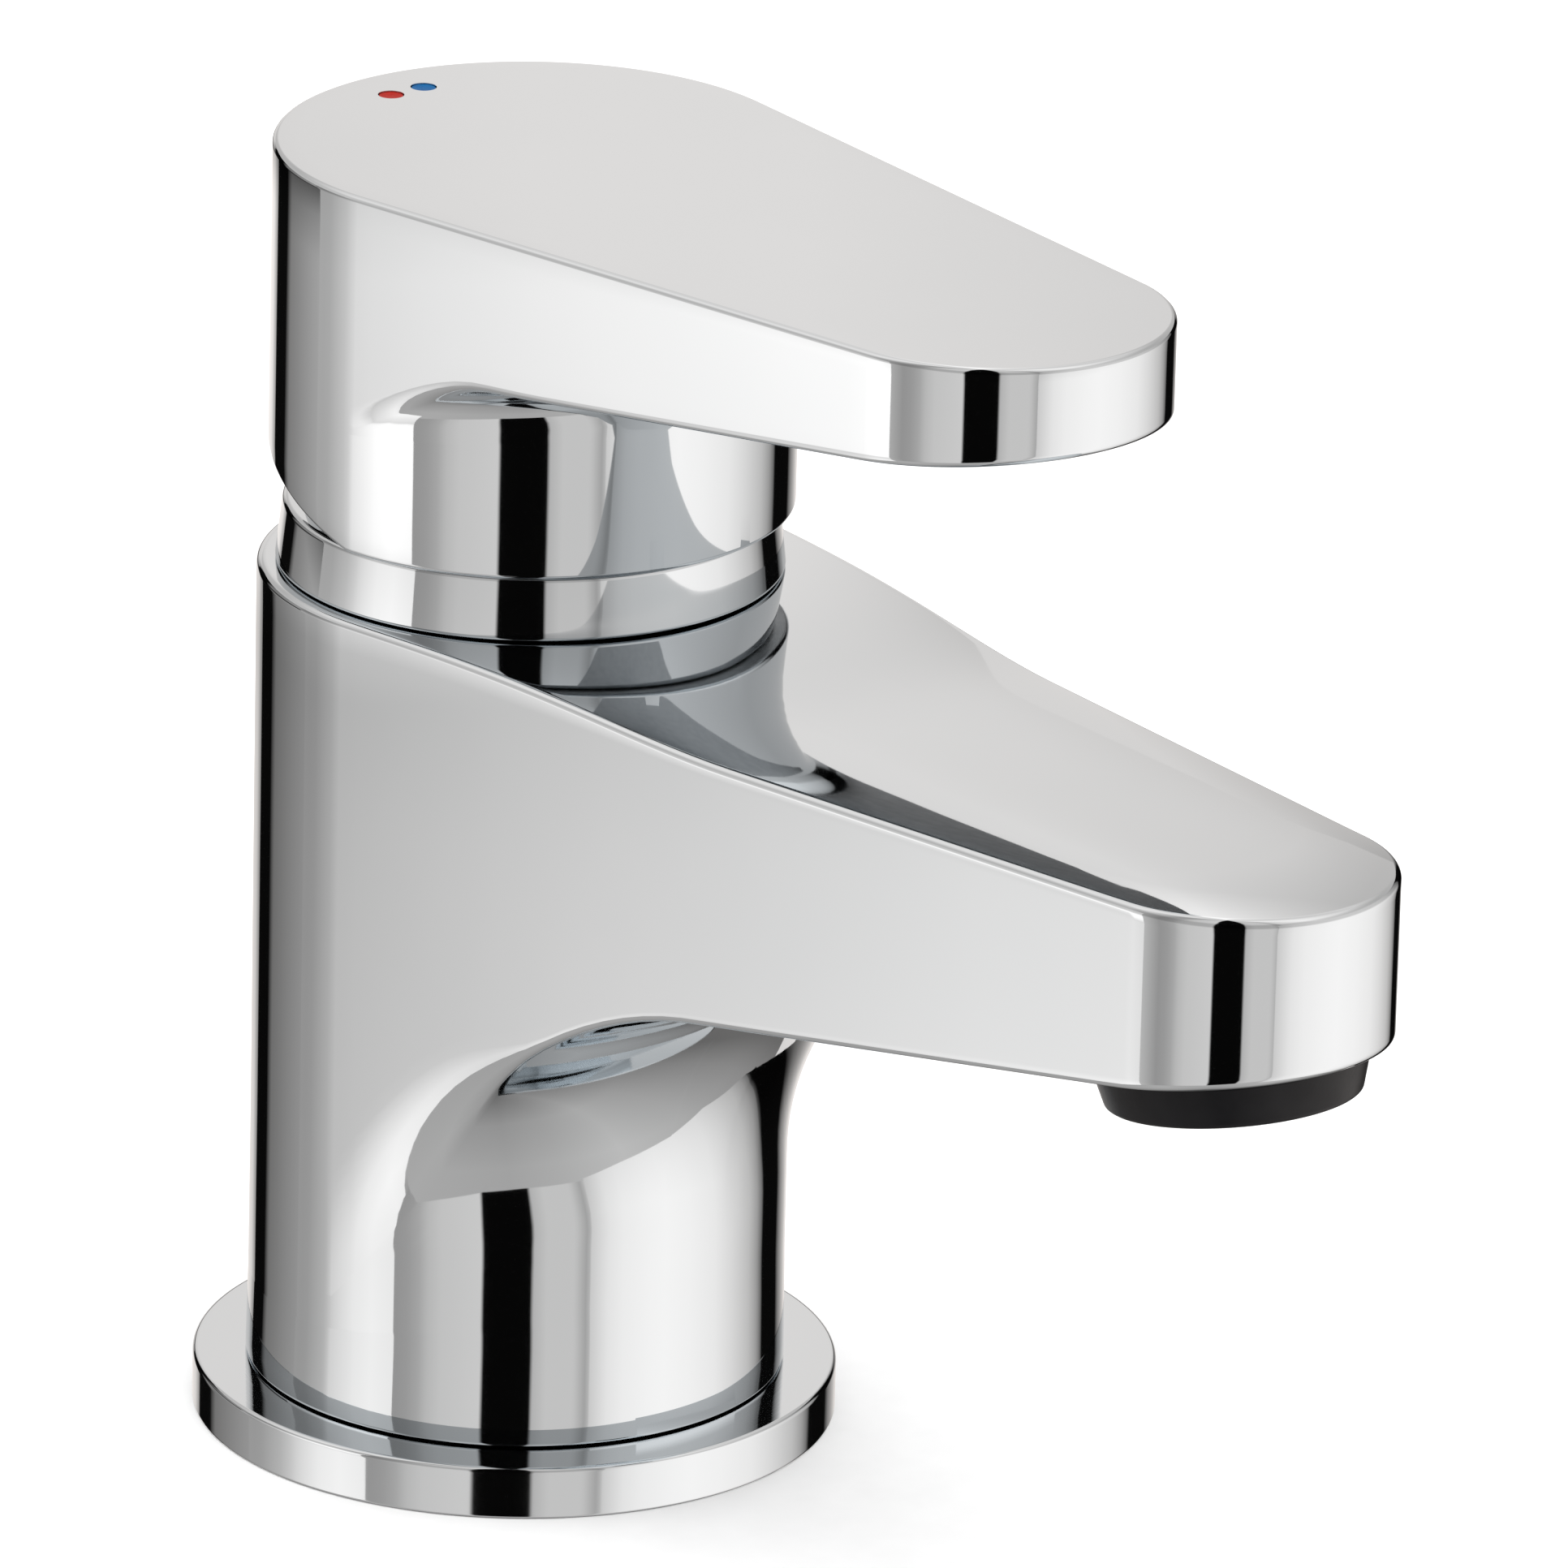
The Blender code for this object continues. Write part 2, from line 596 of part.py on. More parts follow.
def hang(piece, parent):
    """Parents a piece to an empty on a joint's axis, leaving it where it is."""
    piece.parent = parent
    piece.matrix_parent_inverse = parent.matrix_world.inverted()


def empty(name, height):
    marker = bpy.data.objects.new(name, None)
    marker.location = (0.0, 0.0, height * MM)
    bpy.context.collection.objects.link(marker)
    bpy.context.view_layer.update()
    return marker


# ---------------------------------------------------------------- handle

def handle_rim(y):
    """Height of the handle's lower rim: level in front, cut upwards behind."""
    return HANDLE_RIM_Z + HANDLE_REAR_SLOPE * max(0.0, y - HANDLE_REAR_START)


def lever_under(y):
    return LEVER_UNDER_Z + LEVER_UNDER_SLOPE * max(0.0, -y)


def make_handle():
    outline = teardrop(HANDLE_R, HANDLE_TIP_R, HANDLE_REACH, 40, 6, 18)
    wall_r = HANDLE_R - 0.1
    rings = [at_height(inset(outline, HANDLE_ROUNDING), HANDLE_TOP_Z),
             at_height(outline, HANDLE_TOP_Z - HANDLE_ROUNDING)]
    rings += radial_skirt(outline, wall_r, HANDLE_FILLET_R, lever_under, 4, 0.25)
    for radius, lift in ((wall_r, 0.4), (wall_r - 0.4, 0.0), (CUP_R, 0.0)):
        rings.append([(x, y, handle_rim(y) + lift) for x, y in towards_axis(outline, radius)])
    for radius, height in ((CUP_R, CUP_ROOF_Z), (BOSS_R, CUP_ROOF_Z), (BOSS_R, BOSS_FOOT_Z)):
        rings.append(at_height(towards_axis(outline, radius), height))
    points, faces = stitch(rings, (0.0, 0.0, HANDLE_TOP_Z), (0.0, 0.0, BOSS_FOOT_Z))
    handle = new_object("handle", points, faces, CHROME_CAST, (0.0, 0.0, PIVOT_Z))
    socket = STEM_HALF + GAP
    cut(handle, block("cut_stem_socket", (-socket, -socket, BOSS_FOOT_Z - 2 * PAST),
                      (socket, socket, SOCKET_ROOF_Z)))
    cut(handle, bar("cut_screw_way", (0, 0, SCREW_Z), (0, HANDLE_R + 2 * PAST, SCREW_Z),
                    SCREW_R + GAP, SMALL))
    for x, label in zip(DOT_X, ENAMEL):
        cut(handle, drum(f"cut_{label}_well", DOT_R + GAP / 2,
                         (HANDLE_TOP_Z - WELL_DEPTH, HANDLE_TOP_Z + PAST), SMALL, place=shifted(x, DOT_Y)))
    return handle


def make_handle_trim():
    pieces = []
    dot_top = HANDLE_TOP_Z - DOT_SUNK
    for x, label in zip(DOT_X, ENAMEL):
        pieces.append(drum(f"{label}_dot", DOT_R, (dot_top - DOT_THICKNESS, dot_top), SMALL,
                           ENAMEL[label], shifted(x, DOT_Y)))
    screw = bar("grub_screw", (0, STEM_HALF + GAP, SCREW_Z), (0, SCREW_END_Y, SCREW_Z), SCREW_R,
                SMALL, finish=STEEL)
    cut(screw, bar("cut_hex_key", (0, HEX_SOCKET_Y, SCREW_Z), (0, SCREW_END_Y + PAST, SCREW_Z),
                   HEX_SOCKET_R, 6))
    cap_inner, cap_outer = CAP_Y
    cap = bar("screw_cap", (0, cap_inner, SCREW_Z), (0, cap_outer, SCREW_Z), SCREW_R, SMALL,
              finish=CHROME_TURNED)
    return pieces + [screw, cap]


def make_stem():
    low, high = STEM_SPAN
    foot_tip, foot_r = STEM_FOOT_R
    stem = block("lever_stem", (-STEM_HALF, -STEM_HALF, low), (STEM_HALF, STEM_HALF, high),
                 STEEL, (0.0, 0.0, PIVOT_Z))
    foot = turned("join_stem_foot", [(0, STEM_FOOT_Z), (foot_tip, STEM_FOOT_Z), (foot_r, STEM_FOOT_Z + 1.0),
                  (foot_r, low + PAST), (0, low + PAST)], COARSE)
    cut(stem, foot, "UNION")
    cut(stem, pin_hole("cut_stem_pin_hole"))
    return stem


def main():
    for old in list(bpy.data.objects):
        bpy.data.objects.remove(old, do_unlink=True)
    make_foot()
    make_casting()
    make_aerator()
    make_shroud()
    make_cartridge()
    make_nut()
    spindle = empty("swivel_axis", PIVOT_Z)
    make_rotor(spindle)
    lift = empty("lift_axis", PIVOT_Z)
    hang(lift, spindle)
    for piece in [make_handle(), make_stem(), *make_handle_trim()]:
        hang(piece, lift)


main()
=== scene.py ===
"""Finished looks of the single-lever basin mixer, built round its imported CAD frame.

The frame is in metres, +Z up, with the spout and the lever towards -Y and the deck at z = 0.
Outlines here are worked out in millimetres from the CAD boxes and scaled when a mesh is made.
"""

import math

import bmesh
import bpy
from mathutils import Matrix, Vector


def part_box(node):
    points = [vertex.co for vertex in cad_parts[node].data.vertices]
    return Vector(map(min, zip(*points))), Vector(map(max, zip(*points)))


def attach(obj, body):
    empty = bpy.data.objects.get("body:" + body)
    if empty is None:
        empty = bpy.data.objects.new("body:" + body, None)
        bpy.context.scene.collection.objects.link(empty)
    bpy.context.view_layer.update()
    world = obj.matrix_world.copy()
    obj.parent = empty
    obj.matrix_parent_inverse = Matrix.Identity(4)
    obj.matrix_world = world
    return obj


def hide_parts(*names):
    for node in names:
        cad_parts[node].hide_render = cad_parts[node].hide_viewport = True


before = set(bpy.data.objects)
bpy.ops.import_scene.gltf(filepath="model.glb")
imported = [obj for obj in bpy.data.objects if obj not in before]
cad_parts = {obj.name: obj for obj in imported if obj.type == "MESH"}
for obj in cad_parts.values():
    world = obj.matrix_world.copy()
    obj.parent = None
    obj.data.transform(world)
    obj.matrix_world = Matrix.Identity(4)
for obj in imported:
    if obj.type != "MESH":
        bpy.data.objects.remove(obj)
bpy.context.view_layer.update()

MM = 0.001


def box_mm(node):
    """Lowest and highest corner of a CAD node in millimetres."""
    low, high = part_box(node)
    return low / MM, high / MM


CASTING_LOW, CASTING_HIGH = box_mm("body_casting")
RING_LOW, RING_HIGH = box_mm("base_ring")
SHROUD_LOW, SHROUD_HIGH = box_mm("shroud_ring")
HANDLE_LOW, HANDLE_HIGH = box_mm("handle")
CAP_LOW, CAP_HIGH = box_mm("screw_cap")
DOT_LOW, DOT_HIGH = box_mm("red_dot")

# Narrow seam between pieces that meet, and how far a cutter reaches past a face
SEAM = 0.1
PAST = 1.0

# Casting. The column is as wide at its top as at its foot, and narrows slightly at the arch.
COLUMN_R_FOOT = CASTING_HIGH.x
COLUMN_R_TOP = CASTING_HIGH.y
COLUMN_R_ARCH = 22.45
COLUMN_TOP_Z = CASTING_HIGH.z
COLUMN_FOOT_Z = RING_HIGH.z + SEAM
SPOUT_TIP_R = 13.0
SPOUT_REACH = -CASTING_LOW.y - SPOUT_TIP_R
SPOUT_DROP = 1.8
SPOUT_CROWN = 0.45
UNDERSIDE_Z = 43.5
UNDERSIDE_SLOPE = 0.1585
UNDER_FILLET_R = 22.5
BORE_R = 18.0
BORE_FLOOR_Z = 49.0
BORE_CHAMFER = 0.4
FOOT_R = 17.5
INLET_X = 7.5
INLET_R = 4.8
INLET_DEPTH = 14.0
INLET_TIP_DEPTH = 16.0
STUD_HOLE_Y = -10.5
STUD_HOLE_R = 3.4
STUD_HOLE_DEPTH = 16.0

# Base ring
RING_BORE_R = 17.8
GASKET_GROOVE_R = (21.9, 25.1)
GASKET_GROOVE_HEIGHT = 1.6
O_RING_GROOVE_R = (18.6, 20.4)
O_RING_GROOVE_DEPTH = 1.2

# Shroud, whose upper part is a dome round the handle's lift axis
SHROUD_BORE_R = 18.4
SHROUD_TAPER = 0.6
DOME_R = 19.3
DOME_WALL = 1.4
DOME_MOUTH_R = 15.8

# Aerator, in heights above the spout's underside along its own axis
AERATOR_BORE_R = 9.95
AERATOR_BORE_DEPTH = 9.6
SLEEVE_R = (8.4, 9.6)
SLEEVE_TOP = 6.2
COLLAR_R = 11.2
COLLAR_TOP = -0.3
COLLAR_STEP = -1.6
COLLAR_NOSE_R = (7.9, 9.9, 10.35)
COLLAR_NOSE = (-3.6, -3.8, -3.5)
SCREEN_RIM_R = (7.5, 8.1)
SCREEN_RIM_SPAN = (-1.15, -0.45)
WIRE_R = 0.13
WIRE_PITCH = 0.8
WIRE_REACH = 7.6

# Handle
HANDLE_R = HANDLE_HIGH.x
HANDLE_TIP_R = 14.9
HANDLE_REACH = -HANDLE_LOW.y - HANDLE_TIP_R
HANDLE_TOP_Z = HANDLE_HIGH.z
HANDLE_RIM_Z = HANDLE_LOW.z - SEAM
HANDLE_REAR_SLOPE = 0.30
HANDLE_REAR_START = -2.0
LEVER_UNDER_Z = 95.7
LEVER_UNDER_SLOPE = 0.104
LEVER_FILLET_R = 4.0
CUP_R = 19.9
CUP_ROOF_Z = 104.0
BOSS_R = 8.0
BOSS_FOOT_Z = 94.0
STEM_SOCKET = 3.8
SOCKET_ROOF_Z = 102.4
HANDLE_LIP = 0.45
SCREW_Z = (CAP_LOW.z + CAP_HIGH.z) / 2
SCREW_R = (CAP_HIGH.x - CAP_LOW.x) / 2
DOT_R = (DOT_HIGH.x - DOT_LOW.x) / 2

TURN_STEPS = 192
PIVOT_Z = 77.0

# Camera: the angle from which the object is looked at
VIEW_AZIMUTH = math.radians(-41.8)
VIEW_ELEVATION = math.radians(19.96)
VIEW_ROLL = math.radians(1.48)
VIEW_DISTANCE = 1.4
VIEW_AIM = Vector((0.0278, -0.0010, 0.0489))
VIEW_LENS = 382.5

# Studio that the chrome mirrors: far wall, ground, ceiling and a tent close by, in millimetres
FAR_R = 1400.0
GROUND_Z = -1180.0
GROUND_R = 3000.0
CEILING_Z = 1500.0
TENT_R = 285.0
TENT_TOP_Z = 160.0


# ---------------------------------------------------------------- mesh helpers

def make_piece(name, points, faces, finish, body, nodes, sharp=40.0):
    """Makes a smooth-shaded mesh piece that rides on a body and stands for CAD nodes."""
    mesh = bpy.data.meshes.new(name)
    mesh.from_pydata([[c * MM for c in p] for p in points], [], faces)
    work = bmesh.new()
    work.from_mesh(mesh)
    bmesh.ops.remove_doubles(work, verts=work.verts, dist=0.0000005)
    bmesh.ops.recalc_face_normals(work, faces=work.faces)
    work.to_mesh(mesh)
    work.free()
    piece = bpy.data.objects.new(name, mesh)
    bpy.context.collection.objects.link(piece)
    if body:
        mesh.materials.append(finish)
        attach(piece, body)
        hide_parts(*nodes)
        shade(piece, sharp)
    return piece


def shade(piece, sharp=40.0):
    """Smooth shading whose normals follow the large faces, so that roundings stay narrow."""
    piece.data.shade_smooth()
    piece.data.set_sharp_from_angle(angle=math.radians(sharp))
    if "weighted" not in piece.modifiers:
        weighted = piece.modifiers.new("weighted", "WEIGHTED_NORMAL")
        weighted.keep_sharp = True


def stitch(rings, first_pole=None, last_pole=None, closed=False):
    """Joins equal rings of points with quads; poles close the ends with fans."""
    count = len(rings[0])
    points = [p for ring in rings for p in ring]
    faces = []
    pairs = len(rings) if closed else len(rings) - 1
    for k in range(pairs):
        low = k * count
        high = ((k + 1) % len(rings)) * count
        for i in range(count):
            j = (i + 1) % count
            faces.append((low + i, low + j, high + j, high + i))
    if first_pole:
        points.append(first_pole)
        pole = len(points) - 1
        faces += [(pole, (i + 1) % count, i) for i in range(count)]
    if last_pole:
        points.append(last_pole)
        pole = len(points) - 1
        base = (len(rings) - 1) * count
        faces += [(pole, base + i, base + (i + 1) % count) for i in range(count)]
    return points, faces


def turned(profile, steps, place=None):
    """Points and faces of a turned solid. Its (radius, height) profile is an open line
    between two points on the axis, or a closed loop clear of the axis."""
    closed = profile[0][0] > 0 and profile[-1][0] > 0
    rings = []
    for radius, height in profile:
        if radius > 0:
            turn = [2 * math.pi * i / steps for i in range(steps)]
            rings.append([(radius * math.cos(a), radius * math.sin(a), height) for a in turn])
    first = None if closed else (0.0, 0.0, profile[0][1])
    last = None if closed else (0.0, 0.0, profile[-1][1])
    points, faces = stitch(rings, first, last, closed)
    if place:
        points = [place(p) for p in points]
    return points, faces


def round_corner(before, corner, after, radius, steps=5):
    """Points of a curve that rounds a profile corner off over the given length."""
    start = towards(corner, before, radius)
    stop = towards(corner, after, radius)
    curve = []
    for i in range(steps + 1):
        t = i / steps
        curve.append(tuple((1 - t) ** 2 * s + 2 * t * (1 - t) * c + t * t * e
                           for s, c, e in zip(start, corner, stop)))
    return curve


def towards(start, goal, distance):
    size = math.hypot(goal[0] - start[0], goal[1] - start[1])
    return tuple(s + (g - s) * distance / size for s, g in zip(start, goal))


def rounded_loop(corners):
    """A closed profile from (radius, height, rounding) corners."""
    loop = []
    count = len(corners)
    for i, (r, z, rounding) in enumerate(corners):
        if rounding:
            loop += round_corner(corners[i - 1][:2], (r, z), corners[(i + 1) % count][:2], rounding)
        else:
            loop.append((r, z))
    return loop


def carve(piece, points, faces):
    """Cuts a helper solid out of a piece and leaves only the finished mesh."""
    cutter = make_piece("cutter", points, faces, None, None, ())
    step = piece.modifiers.new("cut", "BOOLEAN")
    step.operation = "DIFFERENCE"
    step.solver = "EXACT"
    step.object = cutter
    piece.modifiers.remove(piece.modifiers["weighted"])
    graph = bpy.context.evaluated_depsgraph_get()
    result = bpy.data.meshes.new_from_object(piece.evaluated_get(graph))
    piece.modifiers.remove(step)
    piece.data = result
    cutter_mesh = cutter.data
    bpy.data.objects.remove(cutter, do_unlink=True)
    bpy.data.meshes.remove(cutter_mesh)
    shade(piece)


def shifted(x, y):
    return lambda p: (p[0] + x, p[1] + y, p[2])


def smooth(value, low, high):
    t = min(1.0, max(0.0, (value - low) / (high - low)))
    return t * t * (3 - 2 * t)


def mix(a, b, t):
    return a + (b - a) * t


# ---------------------------------------------------------------- lofted castings

# Share of an edge's length that the handles of its rounding curve take
EDGE_PULL = 0.6

def teardrop(hub_r, tip_r, reach, hub_steps, side_steps, tip_steps):
    """Plan outline of a hub circle and a smaller tip circle joined by tangents."""
    lean = math.acos((hub_r - tip_r) / reach)
    outline = []
    for i in range(hub_steps + 1):
        a = lean + (2 * math.pi - 2 * lean) * i / hub_steps
        outline.append((hub_r * math.sin(a), -hub_r * math.cos(a)))
    tip = []
    for i in range(tip_steps + 1):
        a = -lean + 2 * lean * i / tip_steps
        tip.append((tip_r * math.sin(a), -reach - tip_r * math.cos(a)))
    outline += between(outline[-1], tip[0], side_steps)
    outline += tip
    outline += between(tip[-1], outline[0], side_steps)
    return outline


def between(start, end, steps):
    return [(mix(start[0], end[0], i / steps), mix(start[1], end[1], i / steps))
            for i in range(1, steps)]


def inset(outline, distance):
    """Moves each outline point inwards along the outline's own normal."""
    moved = []
    count = len(outline)
    for i in range(count):
        before = outline[i - 1]
        after = outline[(i + 1) % count]
        dx = after[0] - before[0]
        dy = after[1] - before[1]
        size = math.hypot(dx, dy)
        moved.append((outline[i][0] - distance * dy / size, outline[i][1] + distance * dx / size))
    return moved


def towards_axis(outline, radius):
    """Puts every outline point on a circle round the column's axis."""
    return [(x * radius / math.hypot(x, y), y * radius / math.hypot(x, y)) for x, y in outline]


class Skirt:
    """One radial section of a casting: in along its underside from the outline, down a
    concave fillet, and on down the column. A station is the distance along it."""

    def __init__(self, point, column_r, fillet_r, base, base_slope):
        rho = math.hypot(*point)
        self.ux = point[0] / rho
        self.uy = point[1] / rho
        self.rho = rho
        self.column_r = column_r
        self.fillet_r = fillet_r
        self.base = base
        self.rise = base_slope * max(0.0, -self.uy)
        self.reach = max(0.0, rho - column_r)
        self.flat = max(0.0, self.reach - fillet_r)
        share = min(1.0, self.reach / fillet_r)
        self.start = math.asin(1.0 - share)
        self.arc = fillet_r * (math.pi / 2 - self.start)

    def at(self, station):
        """Radius, height and direction of travel at a station."""
        if station < self.flat:
            radius = self.rho - station
            return radius, self.base + self.rise * radius, (-1.0, -self.rise)
        a = self.start + (station - self.flat) / self.fillet_r
        if a < math.pi / 2:
            radius = self.column_r + self.fillet_r * (1 - math.sin(a))
            drop = self.fillet_r * (1 - math.cos(a))
            course = (-math.cos(a), -math.sin(a) - self.rise * math.cos(a))
            return radius, self.base + self.rise * radius - drop, course
        below = station - self.flat - self.arc
        height = self.base + self.rise * self.column_r - self.fillet_r - below
        return self.column_r, height, (0.0, -1.0)

    def rounding(self, length, steps):
        """Points of a curve that leaves the wall upright, rounds its lower edge, and joins
        the skirt along its own course at the station of that length."""
        radius, height, course = self.at(length)
        pull = EDGE_PULL * length
        share = pull / math.hypot(*course)
        top = self.at(0.0)[1] + length
        handles = ((self.rho, top), (self.rho, top - pull),
                   (radius - share * course[0], height - share * course[1]), (radius, height))
        curve = []
        for i in range(steps + 1):
            t = i / steps
            weights = ((1 - t) ** 3, 3 * t * (1 - t) ** 2, 3 * t * t * (1 - t), t ** 3)
            curve.append(tuple(sum(w * h[k] for w, h in zip(weights, handles)) for k in (0, 1)))
        return curve

    def place(self, radius, height):
        return (self.ux * radius, self.uy * radius, height)


def skirt_rings(sections, edge_lengths, extra, tops, wall_steps, edge_steps, skirt_steps):
    """Rings down a casting's wall from its top points, round its lower edge and along its skirt."""
    rings = [[] for _ in range(wall_steps + edge_steps + skirt_steps)]
    for section, length, top in zip(sections, edge_lengths, tops):
        edge = [section.place(radius, height) for radius, height in section.rounding(length, edge_steps)]
        line = [tuple(mix(a, b, i / wall_steps) for a, b in zip(top, edge[0])) for i in range(wall_steps)]
        line += edge
        whole = section.flat + section.arc + extra
        for i in range(1, skirt_steps):
            radius, height, _ = section.at(mix(length, whole, i / (skirt_steps - 1)))
            line.append(section.place(radius, height))
        for ring, point in zip(rings, line):
            ring.append(point)
    return rings


# ---------------------------------------------------------------- casting

def spout_top(x, y):
    """Height of the top: level round the hub, then sloping and crowned along the spout."""
    along = smooth(-y, 8.0, 45.0)
    half = mix(COLUMN_R_TOP, SPOUT_TIP_R, min(1.0, max(0.0, -y) / SPOUT_REACH))
    past = min(0.0, y + SPOUT_REACH)
    side = min(1.0, math.hypot(x, past) / half)
    return COLUMN_TOP_Z - SPOUT_DROP * along * ((1 - SPOUT_CROWN) * along + SPOUT_CROWN * side ** 4)


def make_casting(finish):
    outline = teardrop(COLUMN_R_TOP, SPOUT_TIP_R, SPOUT_REACH, 110, 40, 60)
    rim = 0.6
    rings = []
    for height in (BORE_FLOOR_Z, COLUMN_TOP_Z - BORE_CHAMFER):
        rings.append([(x, y, height) for x, y in towards_axis(outline, BORE_R)])
    mouth = towards_axis(outline, BORE_R + BORE_CHAMFER)
    edge = inset(outline, rim)
    top_steps = 16
    for k in range(top_steps + 1):
        flat = [(mix(m[0], e[0], k / top_steps), mix(m[1], e[1], k / top_steps))
                for m, e in zip(mouth, edge)]
        rings.append([(x, y, spout_top(x, y)) for x, y in flat])
    for k in range(1, 5):
        a = math.pi / 2 * k / 5
        drop = rim * (1 - math.cos(a))
        rings.append([(x, y, spout_top(x, y) - drop) for x, y in inset(outline, rim * (1 - math.sin(a)))])
    foot = teardrop(COLUMN_R_ARCH, SPOUT_TIP_R, SPOUT_REACH, 110, 40, 60)
    sections = [Skirt(p, COLUMN_R_ARCH, UNDER_FILLET_R, UNDERSIDE_Z, UNDERSIDE_SLOPE) for p in foot]
    edge_lengths = [mix(6.0, 0.9, smooth(section.reach, 0.0, 10.0)) for section in sections]
    tops = [(x, y, spout_top(x, y) - rim) for x, y in outline]
    rings += skirt_rings(sections, edge_lengths, 9.0, tops, 24, 10, 30)
    ends = [p[2] for p in rings[-1]]
    column_steps = 6
    for k in range(1, column_steps + 1):
        t = k / column_steps
        radius = mix(COLUMN_R_ARCH, COLUMN_R_FOOT, t)
        rings.append([(x, y, mix(z, COLUMN_FOOT_Z + 0.35, t))
                      for (x, y), z in zip(towards_axis(foot, radius), ends)])
    for radius, height in ((COLUMN_R_FOOT - 0.1, COLUMN_FOOT_Z + 0.1), (COLUMN_R_FOOT - 0.4, COLUMN_FOOT_Z),
                           (FOOT_R, COLUMN_FOOT_Z), (FOOT_R, CASTING_LOW.z)):
        rings.append([(x, y, height) for x, y in towards_axis(foot, radius)])
    points, faces = stitch(rings, (0.0, 0.0, BORE_FLOOR_Z), (0.0, 0.0, CASTING_LOW.z))
    casting = make_piece("polished_casting", points, faces, finish, "mixer_body",
                         ["body_casting"])
    bore = hole(AERATOR_BORE_R, -2 * PAST, AERATOR_BORE_DEPTH, AERATOR_BORE_DEPTH)
    carve(casting, *turned(bore, 96, on_spout))
    inlet = hole(INLET_R, -PAST, INLET_DEPTH, INLET_TIP_DEPTH)
    for x in (-INLET_X, INLET_X):
        carve(casting, *turned(inlet, 48, shifted(x, 0.0)))
    stud_hole = hole(STUD_HOLE_R, -PAST, STUD_HOLE_DEPTH, STUD_HOLE_DEPTH)
    carve(casting, *turned(stud_hole, 48, shifted(0.0, STUD_HOLE_Y)))
    return casting


def hole(radius, start, depth, tip_depth):
    """Profile of a drilled hole, with a flat end or a cone up to the drill's tip."""
    return [(0, start), (radius, start), (radius, depth), (0, tip_depth)]


def on_spout(p):
    """Places a point given on the aerator's own axis, whose zero is the underside."""
    tilt = math.atan(UNDERSIDE_SLOPE)
    y = p[1] * math.cos(tilt) + p[2] * math.sin(tilt)
    z = -p[1] * math.sin(tilt) + p[2] * math.cos(tilt)
    return (p[0], y - SPOUT_REACH, z + UNDERSIDE_Z + UNDERSIDE_SLOPE * SPOUT_REACH)


# ---------------------------------------------------------------- turned trim

def make_base_ring(finish):
    top = RING_HIGH.z
    outer = RING_HIGH.x
    gasket_in, gasket_out = GASKET_GROOVE_R
    o_ring_in, o_ring_out = O_RING_GROOVE_R
    floor = top - O_RING_GROOVE_DEPTH
    corners = [(RING_BORE_R, 0.0, 0), (gasket_in, 0.0, 0), (gasket_in, GASKET_GROOVE_HEIGHT, 0),
               (gasket_out, GASKET_GROOVE_HEIGHT, 0), (gasket_out, 0.0, 0), (outer, 0.0, 0.3),
               (outer, top, 0.45), (o_ring_out, top, 0), (o_ring_out, floor, 0),
               (o_ring_in, floor, 0), (o_ring_in, top, 0), (RING_BORE_R, top, 0)]
    points, faces = turned(rounded_loop(corners), TURN_STEPS)
    return make_piece("polished_base_ring", points, faces, finish, "mixer_body",
                      ["base_ring"])


def make_shroud(finish):
    low = COLUMN_TOP_Z + SEAM
    foot = (SHROUD_HIGH.x, low)
    shoulder = (SHROUD_HIGH.x - SHROUD_TAPER, HANDLE_RIM_Z - SEAM)
    crest = (DOME_R, shoulder[1])
    shell = DOME_R - DOME_WALL
    profile = [(SHROUD_BORE_R, low)]
    profile += round_corner((SHROUD_BORE_R, low), foot, shoulder, 0.35)
    profile += round_corner(foot, shoulder, crest, 0.5)
    start = math.asin((shoulder[1] - PIVOT_Z) / DOME_R)
    profile += dome_arc(DOME_R, start, math.acos(DOME_MOUTH_R / DOME_R), 12)
    profile += dome_arc(shell, math.acos(DOME_MOUTH_R / shell), 0.0, 8)
    points, faces = turned(profile, TURN_STEPS)
    return make_piece("polished_shroud", points, faces, finish, "mixer_body",
                      ["shroud_ring"])


def dome_arc(radius, start, stop, steps):
    """Profile points on a circle round the handle's lift axis, between two elevations."""
    turn = [mix(start, stop, i / steps) for i in range(steps + 1)]
    return [(radius * math.cos(a), PIVOT_Z + radius * math.sin(a)) for a in turn]


def make_aerator_collar(finish):
    sleeve_in, sleeve_out = SLEEVE_R
    corners = list(zip(COLLAR_NOSE_R, COLLAR_NOSE, (0.2, 0.25, 0.2)))
    corners += [(COLLAR_R, COLLAR_TOP, 0.15), (sleeve_out, COLLAR_TOP, 0), (sleeve_out, SLEEVE_TOP, 0),
                (sleeve_in, SLEEVE_TOP, 0), (sleeve_in, COLLAR_STEP, 0), (COLLAR_NOSE_R[0], COLLAR_STEP, 0)]
    points, faces = turned(rounded_loop(corners), 128, on_spout)
    return make_piece("aerator_collar", points, faces, finish, "mixer_body",
                      ["aerator_housing"])


